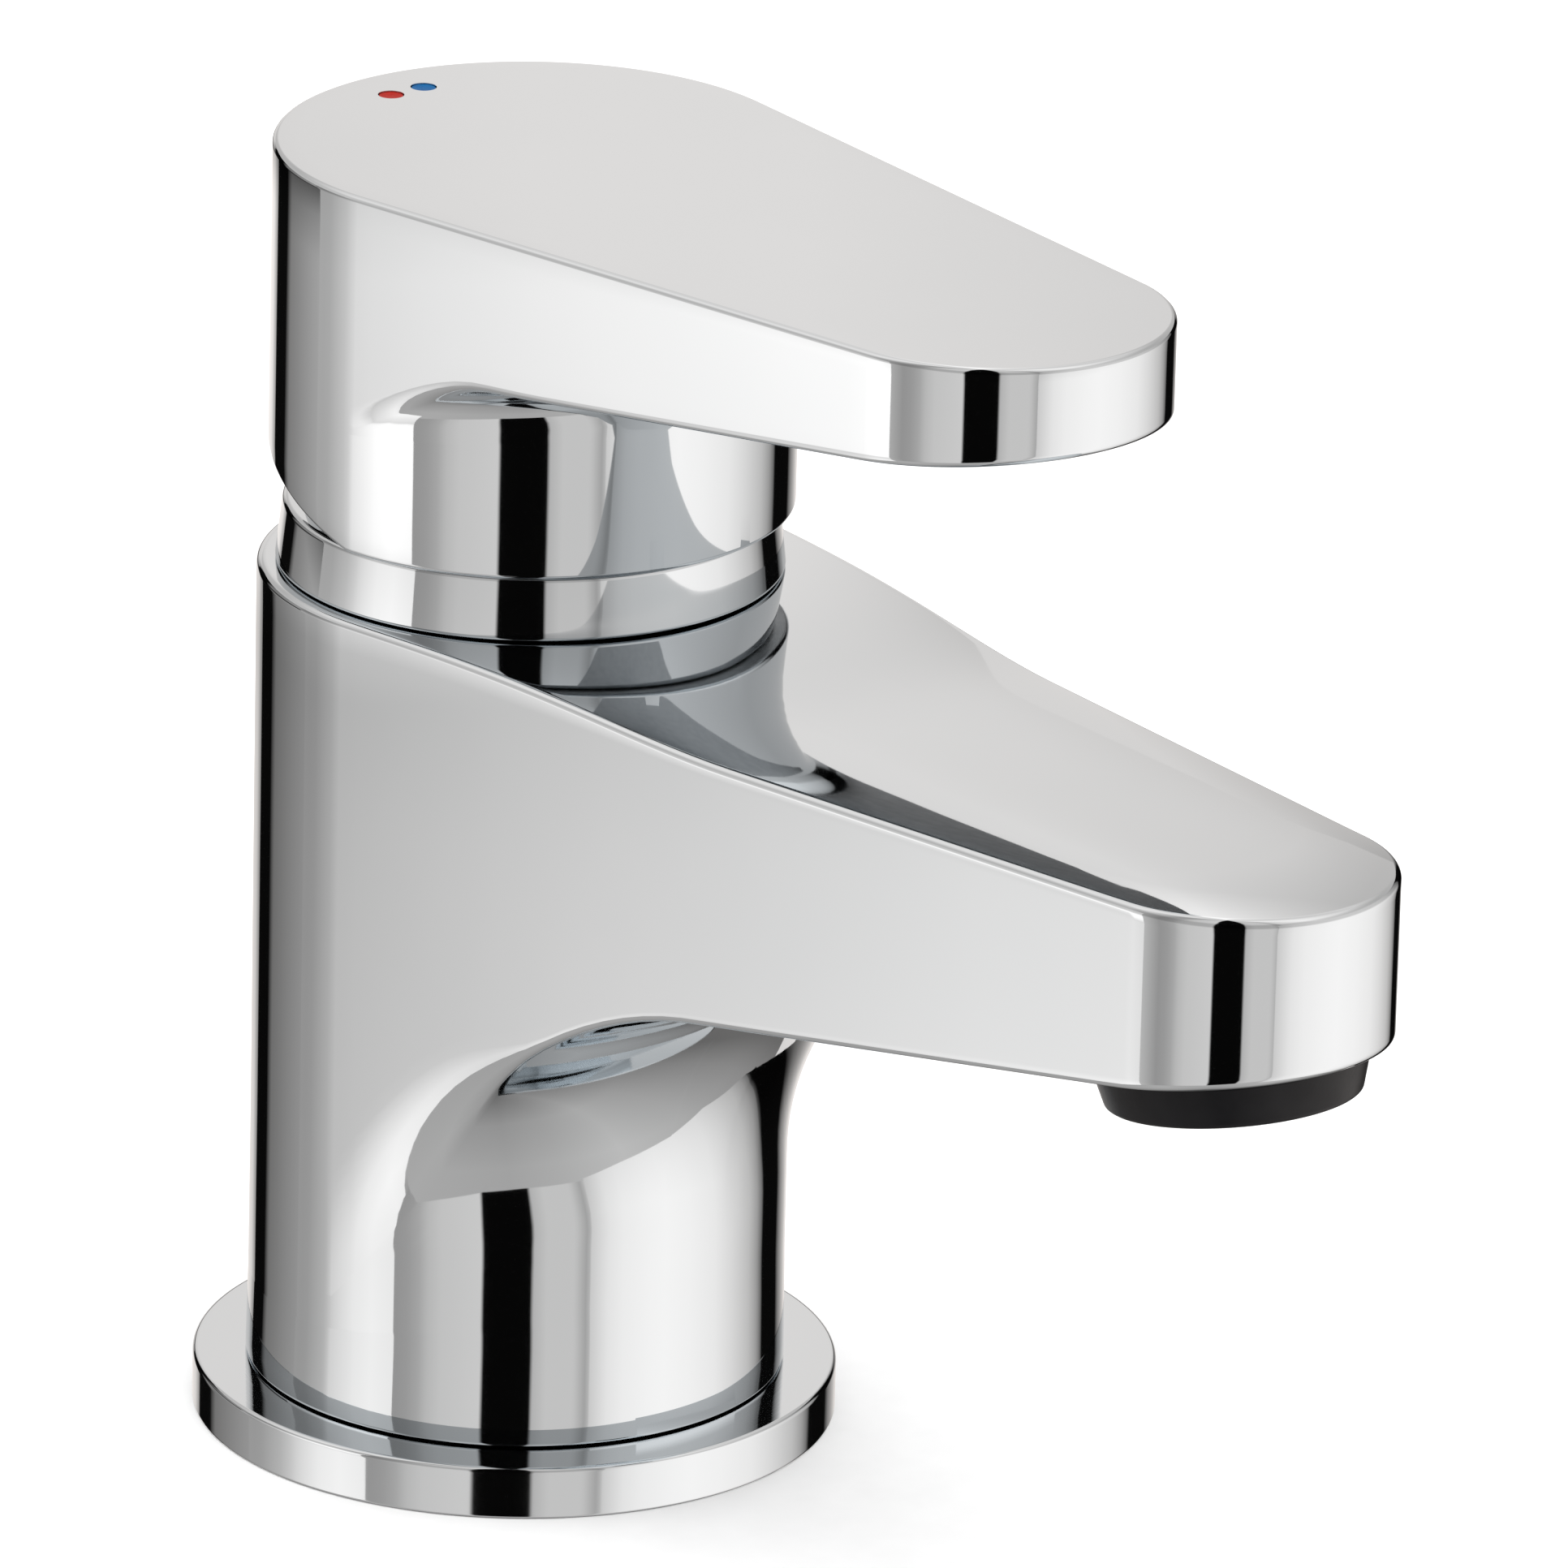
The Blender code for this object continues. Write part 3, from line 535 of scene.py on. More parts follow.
def make_screen(finish):
    """Woven wire disc in a pressed rim."""
    rim_in, rim_out = SCREEN_RIM_R
    low, high = SCREEN_RIM_SPAN
    middle = (low + high) / 2
    points, faces = turned([(rim_in, low), (rim_out, low), (rim_out, high), (rim_in, high)], 96)
    sides, steps = 6, 44
    count = int(rim_in / WIRE_PITCH)
    for axis in (0, 1):
        for k in range(-count, count + 1):
            across = k * WIRE_PITCH
            half = math.sqrt(WIRE_REACH ** 2 - across ** 2)
            sign = 1 if (k + axis) % 2 else -1
            base = len(points)
            for i in range(steps + 1):
                along = mix(-half, half, i / steps)
                lift = sign * WIRE_R * math.cos(math.pi * along / WIRE_PITCH)
                for s in range(sides):
                    a = 2 * math.pi * s / sides
                    side = across + WIRE_R * math.cos(a)
                    height = middle + lift + WIRE_R * math.sin(a)
                    points.append((along, side, height) if axis == 0 else (side, along, height))
            for i in range(steps):
                for s in range(sides):
                    n = (s + 1) % sides
                    a, b = base + i * sides, base + (i + 1) * sides
                    faces.append((a + s, a + n, b + n, b + s))
            faces.append(tuple(base + s for s in reversed(range(sides))))
            faces.append(tuple(base + steps * sides + s for s in range(sides)))
    points = [on_spout(p) for p in points]
    return make_piece("aerator_mesh", points, faces, finish, "mixer_body", ["aerator_screen"])


# ---------------------------------------------------------------- handle

def handle_rim(y):
    """Height of the handle's lower rim: level in front, cut upwards behind."""
    return HANDLE_RIM_Z + HANDLE_REAR_SLOPE * max(0.0, y - HANDLE_REAR_START)


def make_handle(finish):
    outline = teardrop(HANDLE_R, HANDLE_TIP_R, HANDLE_REACH, 110, 30, 64)
    rim = 0.5
    rings = []
    for share in (0.25, 0.5, 0.75, 0.92, 1.0):
        rings.append([(x * share, y * share, HANDLE_TOP_Z) for x, y in inset(outline, rim)])
    for k in range(1, 5):
        a = math.pi / 2 * k / 5
        drop = rim * (1 - math.cos(a))
        rings.append([(x, y, HANDLE_TOP_Z - drop) for x, y in inset(outline, rim * (1 - math.sin(a)))])
    sections = [Skirt(p, HANDLE_R, LEVER_FILLET_R, LEVER_UNDER_Z, LEVER_UNDER_SLOPE) for p in outline]
    edge_lengths = [mix(1.0, 0.7, smooth(s.reach, 1.0, 8.0)) for s in sections]
    tops = [(x, y, HANDLE_TOP_Z - rim) for x, y in outline]
    rings += skirt_rings(sections, edge_lengths, 1.5, tops, 8, 6, 22)
    ends = [p[2] for p in rings[-1]]
    hub = towards_axis(outline, HANDLE_R)
    for k in range(1, 5):
        rings.append([(x, y, mix(z, handle_rim(y) + HANDLE_LIP, k / 4)) for (x, y), z in zip(hub, ends)])
    for k in range(1, 5):
        a = math.pi / 2 * k / 4
        shrink = HANDLE_LIP * (1 - math.cos(a))
        rings.append([(x, y, handle_rim(y) + HANDLE_LIP * (1 - math.sin(a)))
                      for x, y in towards_axis(outline, HANDLE_R - shrink)])
    rings.append([(x, y, handle_rim(y)) for x, y in towards_axis(outline, CUP_R)])
    for radius, height in ((CUP_R, CUP_ROOF_Z), (BOSS_R, CUP_ROOF_Z), (BOSS_R, BOSS_FOOT_Z)):
        rings.append([(x, y, height) for x, y in towards_axis(outline, radius)])
    points, faces = stitch(rings, (0.0, 0.0, HANDLE_TOP_Z), (0.0, 0.0, BOSS_FOOT_Z))
    handle = make_piece("polished_handle", points, faces, finish, "lever", ["handle"])
    socket = [[(x, y, z) for x, y in ((-STEM_SOCKET, -STEM_SOCKET), (STEM_SOCKET, -STEM_SOCKET),
                                      (STEM_SOCKET, STEM_SOCKET), (-STEM_SOCKET, STEM_SOCKET))]
              for z in (BOSS_FOOT_Z - 2 * PAST, SOCKET_ROOF_Z)]
    points, faces = stitch(socket)
    carve(handle, points, faces + [(3, 2, 1, 0), (4, 5, 6, 7)])
    way_r = SCREW_R + 0.15
    mouth = HANDLE_R + 0.5
    way = [(0, 0.0), (way_r, 0.0), (way_r, mouth - PAST), (way_r + 0.3, mouth), (0, mouth)]
    carve(handle, *turned(way, 48, lambda p: (p[0], p[2], SCREW_Z - p[1])))
    for x, y in (dot_centre("red_dot"), dot_centre("blue_dot")):
        low = HANDLE_TOP_Z - 0.8
        well = [(0, low), (DOT_R + 0.08, low), (DOT_R + 0.08, HANDLE_TOP_Z - 0.08),
                (DOT_R + 0.16, HANDLE_TOP_Z + 0.4), (0, HANDLE_TOP_Z + 0.4)]
        carve(handle, *turned(well, 48, shifted(x, y)))
    return handle


def dot_centre(node):
    low, high = box_mm(node)
    return (low.x + high.x) / 2, (low.y + high.y) / 2


def make_dot(node, finish, slot):
    """Enamel drop that fills its well and sags a little in the middle."""
    x, y = dot_centre(node)
    low, high = box_mm(node)
    profile = [(0, low.z), (DOT_R, low.z), (DOT_R, high.z)]
    for k in range(1, 9):
        t = 1 - k / 8
        profile.append((DOT_R * t, high.z - 0.06 * (1 - t * t)))
    points, faces = turned(profile, 64, shifted(x, y))
    return make_piece(f"{slot}_dot", points, faces, finish, "lever", [node])


def make_screw_cap(finish):
    """Domed plug over the grub screw, at the back of the hub."""
    inner, outer = CAP_LOW.y, CAP_HIGH.y
    profile = [(0, inner), (SCREW_R, inner), (SCREW_R, outer - 0.45)]
    for k in range(1, 9):
        a = math.pi / 2 * k / 8
        profile.append((SCREW_R * math.cos(a), outer - 0.45 + 0.45 * math.sin(a)))
    profile[-1] = (0, outer)
    points, faces = turned(profile, 48, lambda p: (p[0], p[2], SCREW_Z - p[1]))
    return make_piece("polished_screw_cap", points, faces, finish, "lever", ["screw_cap"])


# ---------------------------------------------------------------- materials

def new_material(name):
    mat = bpy.data.materials.new(name)
    mat.use_nodes = True
    tree = mat.node_tree
    return mat, tree, tree.nodes["Principled BSDF"]


def add(tree, kind, **values):
    node = tree.nodes.new(kind)
    for key, value in values.items():
        if key in node.inputs:
            node.inputs[key].default_value = value
        else:
            setattr(node, key, value)
    return node


def noise(tree, coords, scale, detail=2.0, roughness=0.5):
    node = add(tree, "ShaderNodeTexNoise", Scale=scale, Detail=detail, Roughness=roughness)
    tree.links.new(coords, node.inputs["Vector"])
    return node.outputs["Fac"]


def ranged(tree, source, low, high, from_low=0.0, from_high=1.0):
    node = tree.nodes.new("ShaderNodeMapRange")
    node.inputs["From Min"].default_value = from_low
    node.inputs["From Max"].default_value = from_high
    node.inputs["To Min"].default_value = low
    node.inputs["To Max"].default_value = high
    tree.links.new(source, node.inputs["Value"])
    return node.outputs["Result"]


def coloured(tree, source, low, high):
    """A colour that runs from low to high as the source runs from 0.3 to 0.7."""
    ramp = tree.nodes.new("ShaderNodeValToRGB")
    ramp.color_ramp.elements[0].position = 0.3
    ramp.color_ramp.elements[0].color = (*low, 1.0)
    ramp.color_ramp.elements[1].position = 0.7
    ramp.color_ramp.elements[1].color = (*high, 1.0)
    tree.links.new(source, ramp.inputs["Fac"])
    return ramp.outputs["Color"]


def bumped(tree, shader, height, distance, strength=1.0, normal=None):
    node = add(tree, "ShaderNodeBump", Distance=distance, Strength=strength)
    tree.links.new(height, node.inputs["Height"])
    if normal:
        tree.links.new(normal, node.inputs["Normal"])
    tree.links.new(node.outputs["Normal"], shader.inputs["Normal"])
    return node.outputs["Normal"]


def chrome(name, roughness, lathe=0.0, shaded_dull_under=False):
    """Chromium plate: a slightly blue mirror with a faint polishing wave in the casting
    below it, softer and sharper patches, and turning lines on level faces if asked.
    Faces that look straight down can be given painted shade, a darker colour, and a rougher, unpolished
    finish."""
    mat, tree, shader = new_material(name)
    shader.inputs["Metallic"].default_value = 1.0
    coords = tree.nodes.new("ShaderNodeTexCoord").outputs["Object"]
    colour = coloured(tree, noise(tree, coords, 35.0), (0.655, 0.698, 0.728), (0.672, 0.712, 0.742))
    haze = ranged(tree, noise(tree, coords, 420.0, 4.0, 0.6), roughness * 0.75, roughness * 1.3)
    if shaded_dull_under:
        shade_and_dull_mask = facing_down(tree)
        # Painted shade: faces that look down get a darker colour here; their rougher finish below is real
        painted_shade_colour = coloured(tree, noise(tree, coords, 600.0, 4.0, 0.6), (0.30, 0.31, 0.32), (0.36, 0.37, 0.38))
        colour = blended(tree, "RGBA", shade_and_dull_mask, colour, painted_shade_colour)
        rough = ranged(tree, noise(tree, coords, 800.0), 0.32, 0.45)
        haze = blended(tree, "FLOAT", shade_and_dull_mask, haze, rough)
    tree.links.new(colour, shader.inputs["Base Color"])
    tree.links.new(haze, shader.inputs["Roughness"])
    wave = noise(tree, coords, 90.0, 1.0)
    normal = bumped(tree, shader, wave, 0.00003, 0.25)
    if lathe:
        apart = tree.nodes.new("ShaderNodeSeparateXYZ")
        tree.links.new(coords, apart.inputs["Vector"])
        flat = tree.nodes.new("ShaderNodeCombineXYZ")
        tree.links.new(apart.outputs["X"], flat.inputs["X"])
        tree.links.new(apart.outputs["Y"], flat.inputs["Y"])
        radius = add(tree, "ShaderNodeVectorMath", operation="LENGTH")
        tree.links.new(flat.outputs["Vector"], radius.inputs[0])
        along = tree.nodes.new("ShaderNodeCombineXYZ")
        tree.links.new(radius.outputs["Value"], along.inputs["X"])
        grooves = noise(tree, along.outputs["Vector"], 2600.0, 3.0, 0.7)
        bumped(tree, shader, grooves, 0.00001, lathe, normal)
    return mat


def facing_down(tree):
    """One on faces that look down within about 25 degrees, and zero elsewhere."""
    normal = tree.nodes.new("ShaderNodeTexCoord").outputs["Normal"]
    apart = tree.nodes.new("ShaderNodeSeparateXYZ")
    tree.links.new(normal, apart.inputs["Vector"])
    return ranged(tree, apart.outputs["Z"], 1.0, 0.0, -0.92, -0.86)


def blended(tree, kind, share, first, second):
    node = add(tree, "ShaderNodeMix", data_type=kind)
    sockets = [socket for socket in node.inputs if socket.enabled]
    for socket, source in zip(sockets, (share, first, second)):
        tree.links.new(source, socket)
    return next(socket for socket in node.outputs if socket.enabled)


def plastic(name, low, high, roughness, grain=900.0, depth=0.00002, gloss=0.5):
    """Moulded plastic with a fine spark-eroded grain and slightly uneven colour."""
    mat, tree, shader = new_material(name)
    shader.inputs["Specular IOR Level"].default_value = gloss
    coords = tree.nodes.new("ShaderNodeTexCoord").outputs["Object"]
    tree.links.new(coloured(tree, noise(tree, coords, 260.0), low, high), shader.inputs["Base Color"])
    texture = noise(tree, coords, grain, 4.0, 0.6)
    tree.links.new(ranged(tree, texture, roughness * 0.8, roughness * 1.2), shader.inputs["Roughness"])
    bumped(tree, shader, texture, depth, 0.6)
    return mat


def machined(name, low, high, roughness):
    """Bare turned metal: tool lines run round the object's upright axis."""
    mat, tree, shader = new_material(name)
    shader.inputs["Metallic"].default_value = 1.0
    coords = tree.nodes.new("ShaderNodeTexCoord").outputs["Object"]
    tree.links.new(coloured(tree, noise(tree, coords, 300.0), low, high), shader.inputs["Base Color"])
    stretch = add(tree, "ShaderNodeMapping", Scale=(60.0, 60.0, 6000.0))
    tree.links.new(coords, stretch.inputs["Vector"])
    lines = noise(tree, stretch.outputs["Vector"], 1.0, 3.0, 0.6)
    tree.links.new(ranged(tree, lines, roughness * 0.8, roughness * 1.25), shader.inputs["Roughness"])
    bumped(tree, shader, lines, 0.00002, 0.5)
    return mat


def ceramic(name):
    """Lapped alumina: white, dense and nearly polished, with a sparse grey speckle."""
    mat, tree, shader = new_material(name)
    coords = tree.nodes.new("ShaderNodeTexCoord").outputs["Object"]
    speck = noise(tree, coords, 2500.0, 2.0)
    tree.links.new(coloured(tree, speck, (0.70, 0.69, 0.66), (0.84, 0.83, 0.80)),
                   shader.inputs["Base Color"])
    tree.links.new(ranged(tree, noise(tree, coords, 500.0), 0.16, 0.26), shader.inputs["Roughness"])
    return mat


def enamel(name, low, high):
    """Glossy paint in a shallow well, its colour a little uneven."""
    mat, tree, shader = new_material(name)
    shader.inputs["Specular IOR Level"].default_value = 0.03
    coords = tree.nodes.new("ShaderNodeTexCoord").outputs["Object"]
    tree.links.new(coloured(tree, noise(tree, coords, 900.0), low, high), shader.inputs["Base Color"])
    tree.links.new(ranged(tree, noise(tree, coords, 1500.0), 0.25, 0.4), shader.inputs["Roughness"])
    return mat


def dress_cad_nodes():
    """Gives each CAD node that stays in view its finished material."""
    brass = machined("brass_turned", (0.62, 0.43, 0.17), (0.72, 0.53, 0.25), 0.32)
    steel = machined("steel_turned", (0.52, 0.53, 0.54), (0.62, 0.63, 0.64), 0.28)
    rubber = plastic("rubber_black", (0.012, 0.012, 0.013), (0.026, 0.026, 0.027), 0.62, 1500.0)
    white = plastic("plastic_white", (0.76, 0.75, 0.71), (0.84, 0.83, 0.79), 0.45)
    grey = plastic("plastic_grey", (0.20, 0.21, 0.22), (0.28, 0.29, 0.30), 0.5)
    pale = plastic("plastic_pale", (0.66, 0.67, 0.65), (0.76, 0.77, 0.75), 0.42)
    red = plastic("plastic_red", (0.46, 0.02, 0.02), (0.60, 0.04, 0.03), 0.45)
    alumina = ceramic("ceramic_white")
    finishes = {
        "base_gasket": rubber, "column_o_ring": rubber, "hot_port_seal": rubber,
        "cold_port_seal": rubber, "outlet_port_seal": rubber, "aerator_gasket": rubber,
        "retaining_nut": brass, "cartridge_base": grey, "cartridge_rotor": grey,
        "cartridge_housing": white, "disc_carrier": white, "aerator_insert": pale,
        "hot_limit_ring": red, "fixed_disc": alumina, "moving_disc": alumina,
        "rotor_pin": steel, "lever_stem": steel, "grub_screw": steel,
    }
    for node, finish in finishes.items():
        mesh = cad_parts[node].data
        mesh.materials.clear()
        mesh.materials.append(finish)


# ---------------------------------------------------------------- studio

# Azimuth from the camera's direction in degrees, and display tone from 0 to 255, of the
# cards, lamps and dark gaps that stand round the object, and of the ground.
FAR_WALL = [
    (-180, 252), (-168, 212), (-150, 205), (-90, 228), (-52, 146), (-46, 152), (-41, 164), (-37, 182),
    (-31, 193), (-14, 200), (-13.4, 6), (7.4, 6), (8, 176), (14, 193), (26, 193), (32, 154), (33, 200),
    (60, 240), (120, 200), (150, 205), (170, 212), (180, 252),
]
LEFT_TENT = [
    (-104, 147), (-100, 150), (-90, 172), (-85, 190), (-82, 204), (-79, 213), (-72, 229), (-63, 236),
    (-50, 229),
]
RIGHT_TENT = [
    (33, 200), (41, 227), (48, 236), (60, 242), (68, 244), (81, 240), (96, 231), (107, 214), (120, 186),
    (127, 153), (131, 110),
]
BACK_RIGHT_TENT = [(127, 153), (131, 110), (133, 8), (150, 8), (155, 120), (170, 199), (180, 205)]
BACK_LEFT_TENT = [
    (-180, 205), (-160, 190), (-152.5, 130), (-152, 8), (-138, 8), (-133, 108), (-125, 119), (-104, 147),
]
GROUND = [
    (-180, 95), (-110, 150), (-50, 168), (0, 162), (25, 172), (55, 187), (90, 170), (130, 135), (150, 100),
    (180, 95),
]
# Height in millimetres, and brightness there, of the far wall and of the tent walls. The dark
# band behind draws a thin line along the far edges of the level tops.
FAR_HEIGHTS = [(-1160, 1.0), (-150, 1.0), (150, 0.68), (900, 0.68), (1500, 1.0)]
LOW_LEFT = [
    (-200, 1.0), (-130, 1.1), (-95, 1.04), (-70, 0.98), (-45, 0.93), (-30, 0.87), (-14, 1.22), (15, 1.3),
]
DARK_BAND = [(28, 0.15), (60, 0.15), (75, 1.05), (160, 1.05)]
LEFT_HEIGHTS = LOW_LEFT + [(45, 1.0), (90, 0.68), (160, 0.68)]
RIGHT_HEIGHTS = [(-287, 0.85), (-110, 1.0), (40, 1.0), (80, 0.66), (160, 0.66)]
BACK_RIGHT_HEIGHTS = [(-257, 0.5), (-174, 0.5), (-100, 1.0), (20, 1.0)] + DARK_BAND
BACK_LEFT_HEIGHTS = LOW_LEFT + DARK_BAND
# Radius in millimetres on the ground, and brightness there. The middle is darker, a painted shadow of the
# object that its downward faces mirror.
GROUND_RADII = [(0, 0.35), (400, 0.8), (1000, 1.0), (3000, 1.0)]
# Azimuth, and height in millimetres, of each wall's lower edge.
FAR_FEET = [(-180, -944), (-50, -944), (-12, -1160), (180, -1160)]
LEFT_FEET = [(-104, -200), (-50, -150)]
RIGHT_FEET = [(31, -205), (50, -233), (100, -287), (127, -257)]
BACK_RIGHT_FEET = [(127, -257), (150, -174), (180, -174)]
BACK_LEFT_FEET = [(-180, -174), (-104, -200)]
PLATE_TINT = (0.664, 0.705, 0.735)


def linear(tone):
    value = tone / 255.0
    return value / 12.92 if value <= 0.04045 else ((value + 0.055) / 1.055) ** 2.4


def untinted(tone):
    """Light that the plating's own tint turns back into a neutral display tone."""
    return [linear(tone) / share for share in PLATE_TINT]


def ramped(tree, source, stops, low, high):
    """A colour looked up from (place, colour) stops between low and high."""
    node = tree.nodes.new("ShaderNodeValToRGB")
    elements = node.color_ramp.elements
    while len(elements) < len(stops):
        elements.new(0.5)
    for element, (place, colour) in zip(elements, stops):
        element.position = (place - low) / (high - low)
        element.color = (*colour, 1.0)
    tree.links.new(ranged(tree, source, 0.0, 1.0, low, high), node.inputs["Fac"])
    return node.outputs["Color"]


def multiplied(tree, first, second):
    node = add(tree, "ShaderNodeVectorMath", operation="MULTIPLY")
    tree.links.new(first, node.inputs[0])
    tree.links.new(second, node.inputs[1])
    return node.outputs["Vector"]


def glowing(name):
    """An empty emission material, and the place that is shaded, in metres."""
    mat = bpy.data.materials.new(name)
    mat.use_nodes = True
    mat.cycles.emission_sampling = "NONE"
    tree = mat.node_tree
    tree.nodes.remove(tree.nodes["Principled BSDF"])
    glow = tree.nodes.new("ShaderNodeEmission")
    tree.links.new(glow.outputs["Emission"], tree.nodes["Material Output"].inputs["Surface"])
    place = tree.nodes.new("ShaderNodeNewGeometry").outputs["Position"]
    return mat, tree, glow, place


def azimuth(tree, place, middle):
    """Azimuth of a place from the camera's direction, in degrees, up to half a turn each
    side of the middle."""
    turn = VIEW_AZIMUTH + math.radians(middle)
    facing = (math.sin(turn), -math.cos(turn), 0.0)
    right = (math.cos(turn), math.sin(turn), 0.0)
    angle = add(tree, "ShaderNodeMath", operation="ARCTAN2")
    for slot, axis in enumerate((right, facing)):
        dot = add(tree, "ShaderNodeVectorMath", operation="DOT_PRODUCT")
        dot.inputs[1].default_value = axis
        tree.links.new(place, dot.inputs[0])
        tree.links.new(dot.outputs["Value"], angle.inputs[slot])
    return ranged(tree, angle.outputs["Value"], middle - 180.0, middle + 180.0, -math.pi, math.pi)


def wall_material(name, tones, heights, radius):
    """Light that depends on azimuth and height. The tones are as the column mirrors them,
    and a wall close by is met a little short of the azimuth in which the light goes."""
    mat, tree, glow, place = glowing(name)
    around = []
    for turn, tone in tones:
        short = math.asin(COLUMN_R_TOP / radius * math.sin(math.radians(turn / 2)))
        around.append((turn - math.degrees(short), untinted(tone)))
    first, last = around[0][0], around[-1][0]
    colour = ramped(tree, azimuth(tree, place, (first + last) / 2), around, first, last)
    apart = tree.nodes.new("ShaderNodeSeparateXYZ")
    tree.links.new(place, apart.inputs["Vector"])
    tree.links.new(multiplied(tree, colour, brightness(tree, apart.outputs["Z"], heights)),
                   glow.inputs["Color"])
    return mat


def brightness(tree, metres, stops):
    """Brightness looked up from stops at given millimetres."""
    low, high = stops[0][0], stops[-1][0]
    in_mm = ranged(tree, metres, low, high, low * MM, high * MM)
    return ramped(tree, in_mm, [(at, (light, light, light)) for at, light in stops], low, high)


def ground_material():
    mat, tree, glow, place = glowing("studio_ground")
    around = [(turn, untinted(tone)) for turn, tone in GROUND]
    colour = ramped(tree, azimuth(tree, place, 0.0), around, -180.0, 180.0)
    flat = add(tree, "ShaderNodeVectorMath", operation="MULTIPLY")
    flat.inputs[1].default_value = (1.0, 1.0, 0.0)
    tree.links.new(place, flat.inputs[0])
    out = add(tree, "ShaderNodeVectorMath", operation="LENGTH")
    tree.links.new(flat.outputs["Vector"], out.inputs[0])
    tree.links.new(multiplied(tree, colour, brightness(tree, out.outputs["Value"], GROUND_RADII)),
                   glow.inputs["Color"])
    return mat


def only_mirrored(name, points, faces, finish):
    """Studio surface that is seen in the object's polish and nowhere else."""
    thing = make_piece(name, points, faces, None, None, ())
    thing.data.materials.append(finish)
    for mode in ("camera", "diffuse", "transmission", "volume_scatter", "shadow"):
        setattr(thing, f"visible_{mode}", False)


def flat_disc(radius, height, steps):
    turn = [2 * math.pi * i / steps for i in range(steps)]
    return [(radius * math.cos(a), radius * math.sin(a), height) for a in turn], [tuple(range(steps))]


def along_stops(stops, place):
    """Value at a place between the (place, value) stops round it."""
    for (low, first), (high, last) in zip(stops, stops[1:]):
        if place <= high:
            return mix(first, last, (place - low) / (high - low))
    return stops[-1][1]


def arc_wall(radius, feet, top, start, stop, steps):
    """Upright wall along an arc, between two azimuths from the camera's direction."""
    points = []
    for i in range(steps + 1):
        turn = mix(start, stop, i / steps)
        a = VIEW_AZIMUTH + math.radians(turn)
        for height in (along_stops(feet, turn), top):
            points.append((radius * math.sin(a), -radius * math.cos(a), height))
    faces = [(2 * i, 2 * i + 2, 2 * i + 3, 2 * i + 1) for i in range(steps)]
    return points, faces


def make_studio():
    """Far wall, ground and ceiling, and the walls of a tent close round the object."""
    far = wall_material("studio_far", FAR_WALL, FAR_HEIGHTS, FAR_R)
    only_mirrored("studio_wall", *arc_wall(FAR_R, FAR_FEET, CEILING_Z, -180, 180, 180), far)
    only_mirrored("studio_ceiling", *flat_disc(FAR_R, CEILING_Z, 64), far)
    only_mirrored("studio_ground", *flat_disc(GROUND_R, GROUND_Z, 64), ground_material())
    for name, tones, heights, feet, start, stop in (
            ("left", LEFT_TENT, LEFT_HEIGHTS, LEFT_FEET, -104, -50.35),
            ("right", RIGHT_TENT, RIGHT_HEIGHTS, RIGHT_FEET, 31.7, 127),
            ("back_right", BACK_RIGHT_TENT, BACK_RIGHT_HEIGHTS, BACK_RIGHT_FEET, 127, 180),
            ("back_left", BACK_LEFT_TENT, BACK_LEFT_HEIGHTS, BACK_LEFT_FEET, -180, -104)):
        finish = wall_material(f"tent_{name}", tones, heights, TENT_R)
        only_mirrored(f"tent_{name}", *arc_wall(TENT_R, feet, TENT_TOP_Z, start, stop, 48), finish)


def make_floor():
    size = 3.0
    mesh = bpy.data.meshes.new("floor")
    mesh.from_pydata([(-size, -size, 0), (size, -size, 0), (size, size, 0), (-size, size, 0)], [],
                     [(0, 1, 2, 3)])
    floor = bpy.data.objects.new("floor", mesh)
    bpy.context.collection.objects.link(floor)
    mesh.materials.append(plastic("floor_white", (0.90, 0.90, 0.90), (0.92, 0.92, 0.92), 0.9, 40.0, 0.0))
    floor.visible_glossy = False


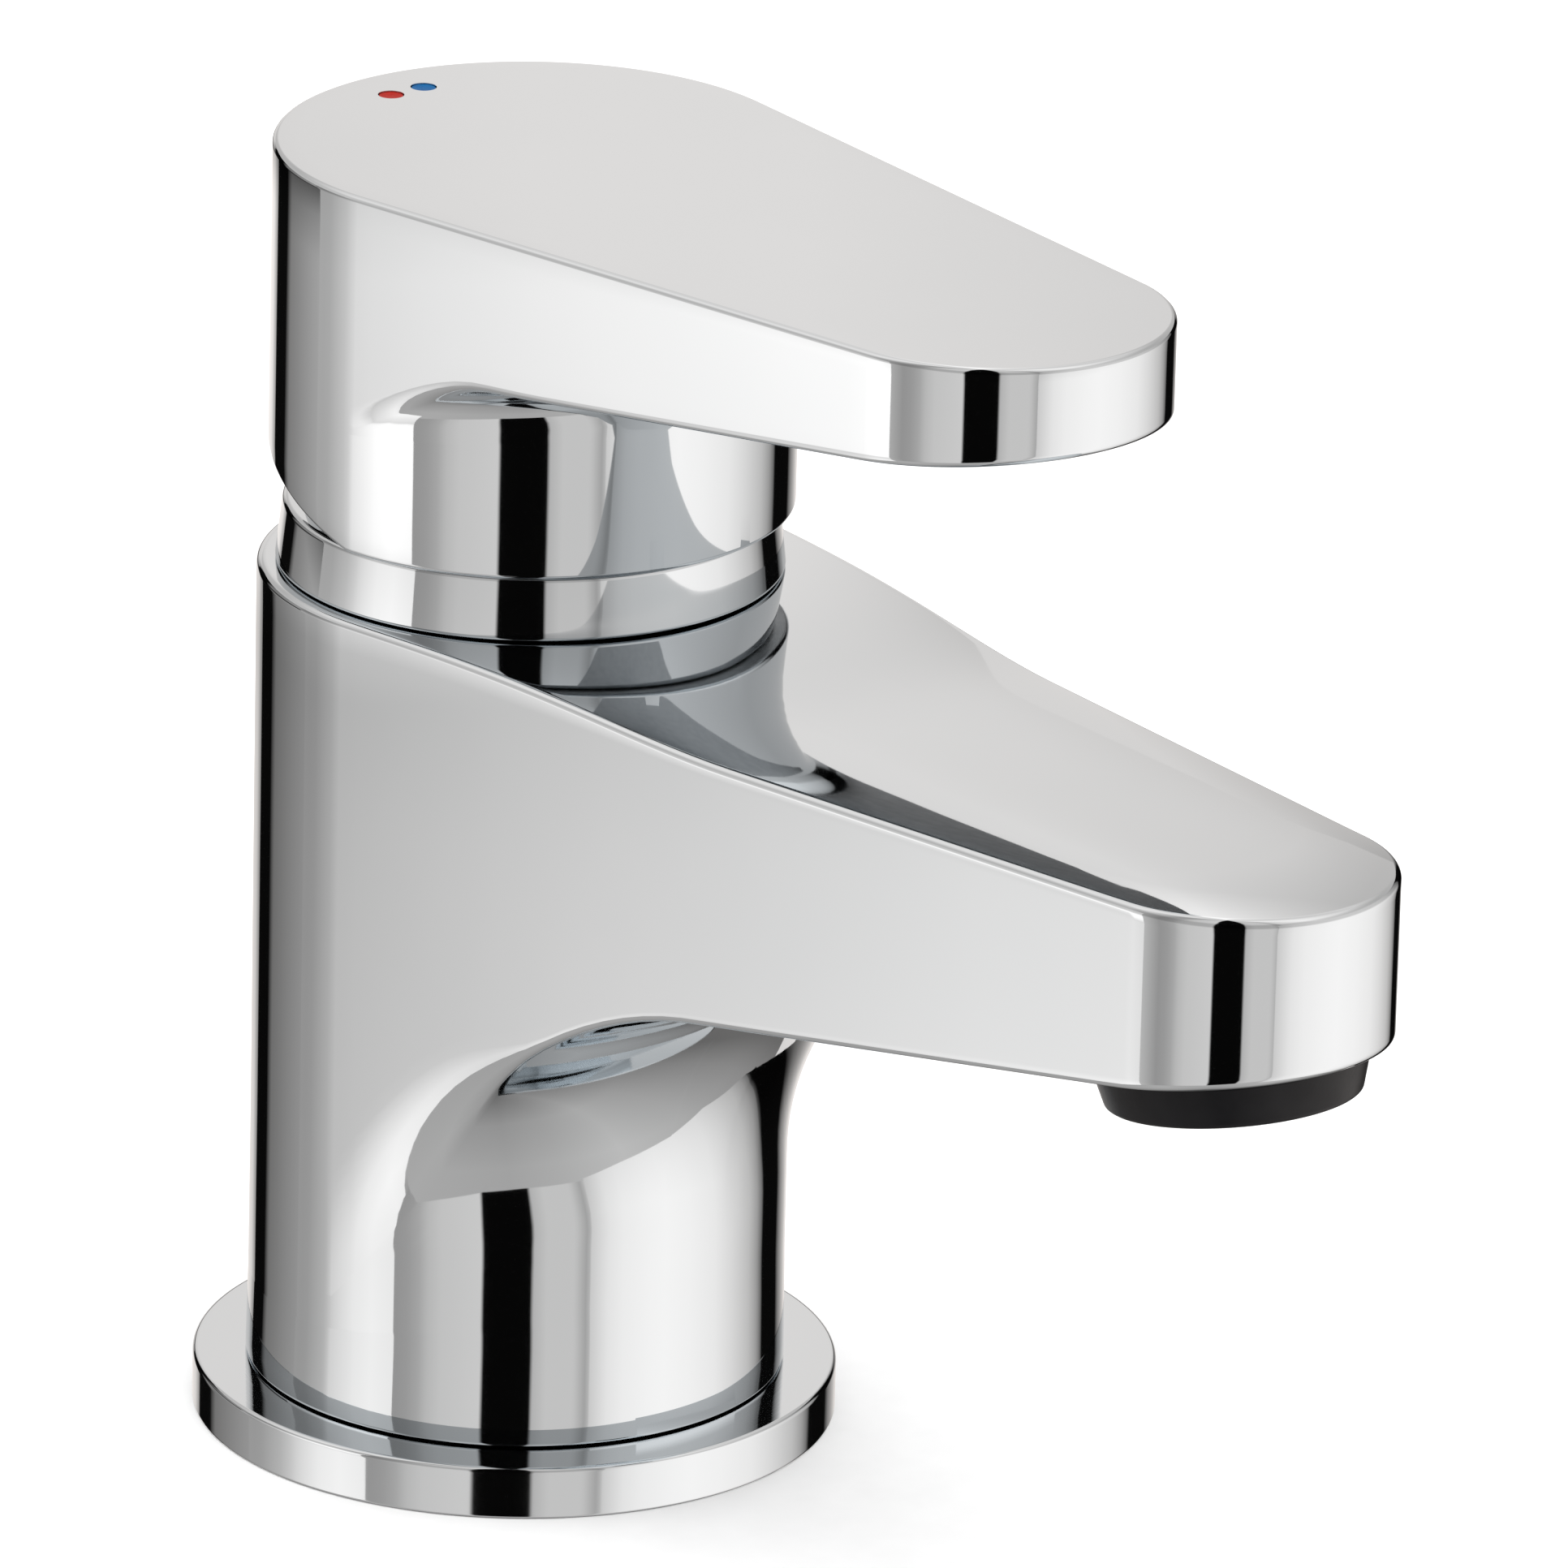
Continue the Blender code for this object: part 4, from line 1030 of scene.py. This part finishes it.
def make_light():
    world = bpy.data.worlds.new("studio")
    bpy.context.scene.world = world
    world.use_nodes = True
    world.node_tree.nodes["Background"].inputs["Color"].default_value = (1.0, 1.0, 1.0, 1.0)
    world.node_tree.nodes["Background"].inputs["Strength"].default_value = 1.3
    lamp = bpy.data.lights.new("overhead_softbox", "AREA")
    lamp.shape = "RECTANGLE"
    lamp.size = 1.6
    lamp.size_y = 1.6
    lamp.energy = 12.0
    softbox = bpy.data.objects.new("overhead_softbox", lamp)
    softbox.location = (-0.3, -0.5, 1.5)
    softbox.rotation_euler = (Vector((0, 0, 0.05)) - softbox.location).to_track_quat("-Z", "Y").to_euler()
    softbox.visible_glossy = False
    bpy.context.collection.objects.link(softbox)


def make_camera():
    back = Vector((math.sin(VIEW_AZIMUTH) * math.cos(VIEW_ELEVATION),
                   -math.cos(VIEW_AZIMUTH) * math.cos(VIEW_ELEVATION), math.sin(VIEW_ELEVATION)))
    level = Vector((math.cos(VIEW_AZIMUTH), math.sin(VIEW_AZIMUTH), 0.0))
    upright = back.cross(level)
    right = level * math.cos(VIEW_ROLL) + upright * math.sin(VIEW_ROLL)
    up = back.cross(right)
    lens = bpy.data.cameras.new("camera")
    lens.lens = VIEW_LENS
    lens.sensor_width = 36.0
    camera = bpy.data.objects.new("camera", lens)
    turn = Matrix((right, up, back)).transposed().to_4x4()
    camera.matrix_world = Matrix.Translation(VIEW_AIM + back * VIEW_DISTANCE) @ turn
    bpy.context.collection.objects.link(camera)
    bpy.context.scene.camera = camera


# ---------------------------------------------------------------- build

make_camera()
make_light()
make_floor()
make_studio()

make_casting(chrome("chrome_casting", 0.035))
make_base_ring(chrome("chrome_base_ring", 0.05, 0.3))
make_shroud(chrome("chrome_shroud_ring", 0.035))
# The handle's downward faces get painted shade, a darker colour, and a rougher finish
make_handle(chrome("chrome_handle_shaded_dull_under", 0.035, shaded_dull_under=True))
make_screw_cap(chrome("chrome_cap", 0.06))
make_aerator_collar(plastic("plastic_black", (0.003, 0.003, 0.004), (0.006, 0.006, 0.007), 0.34,
                            gloss=0.18))
make_screen(machined("steel_wire", (0.55, 0.56, 0.57), (0.66, 0.67, 0.68), 0.25))
make_dot("red_dot", enamel("enamel_red", (0.28, 0.008, 0.004), (0.33, 0.013, 0.008)), "red_enamel")
make_dot("blue_dot", enamel("enamel_blue", (0.001, 0.07, 0.21), (0.002, 0.09, 0.25)), "blue_enamel")
dress_cad_nodes()

bpy.context.scene.view_settings.view_transform = "Standard"
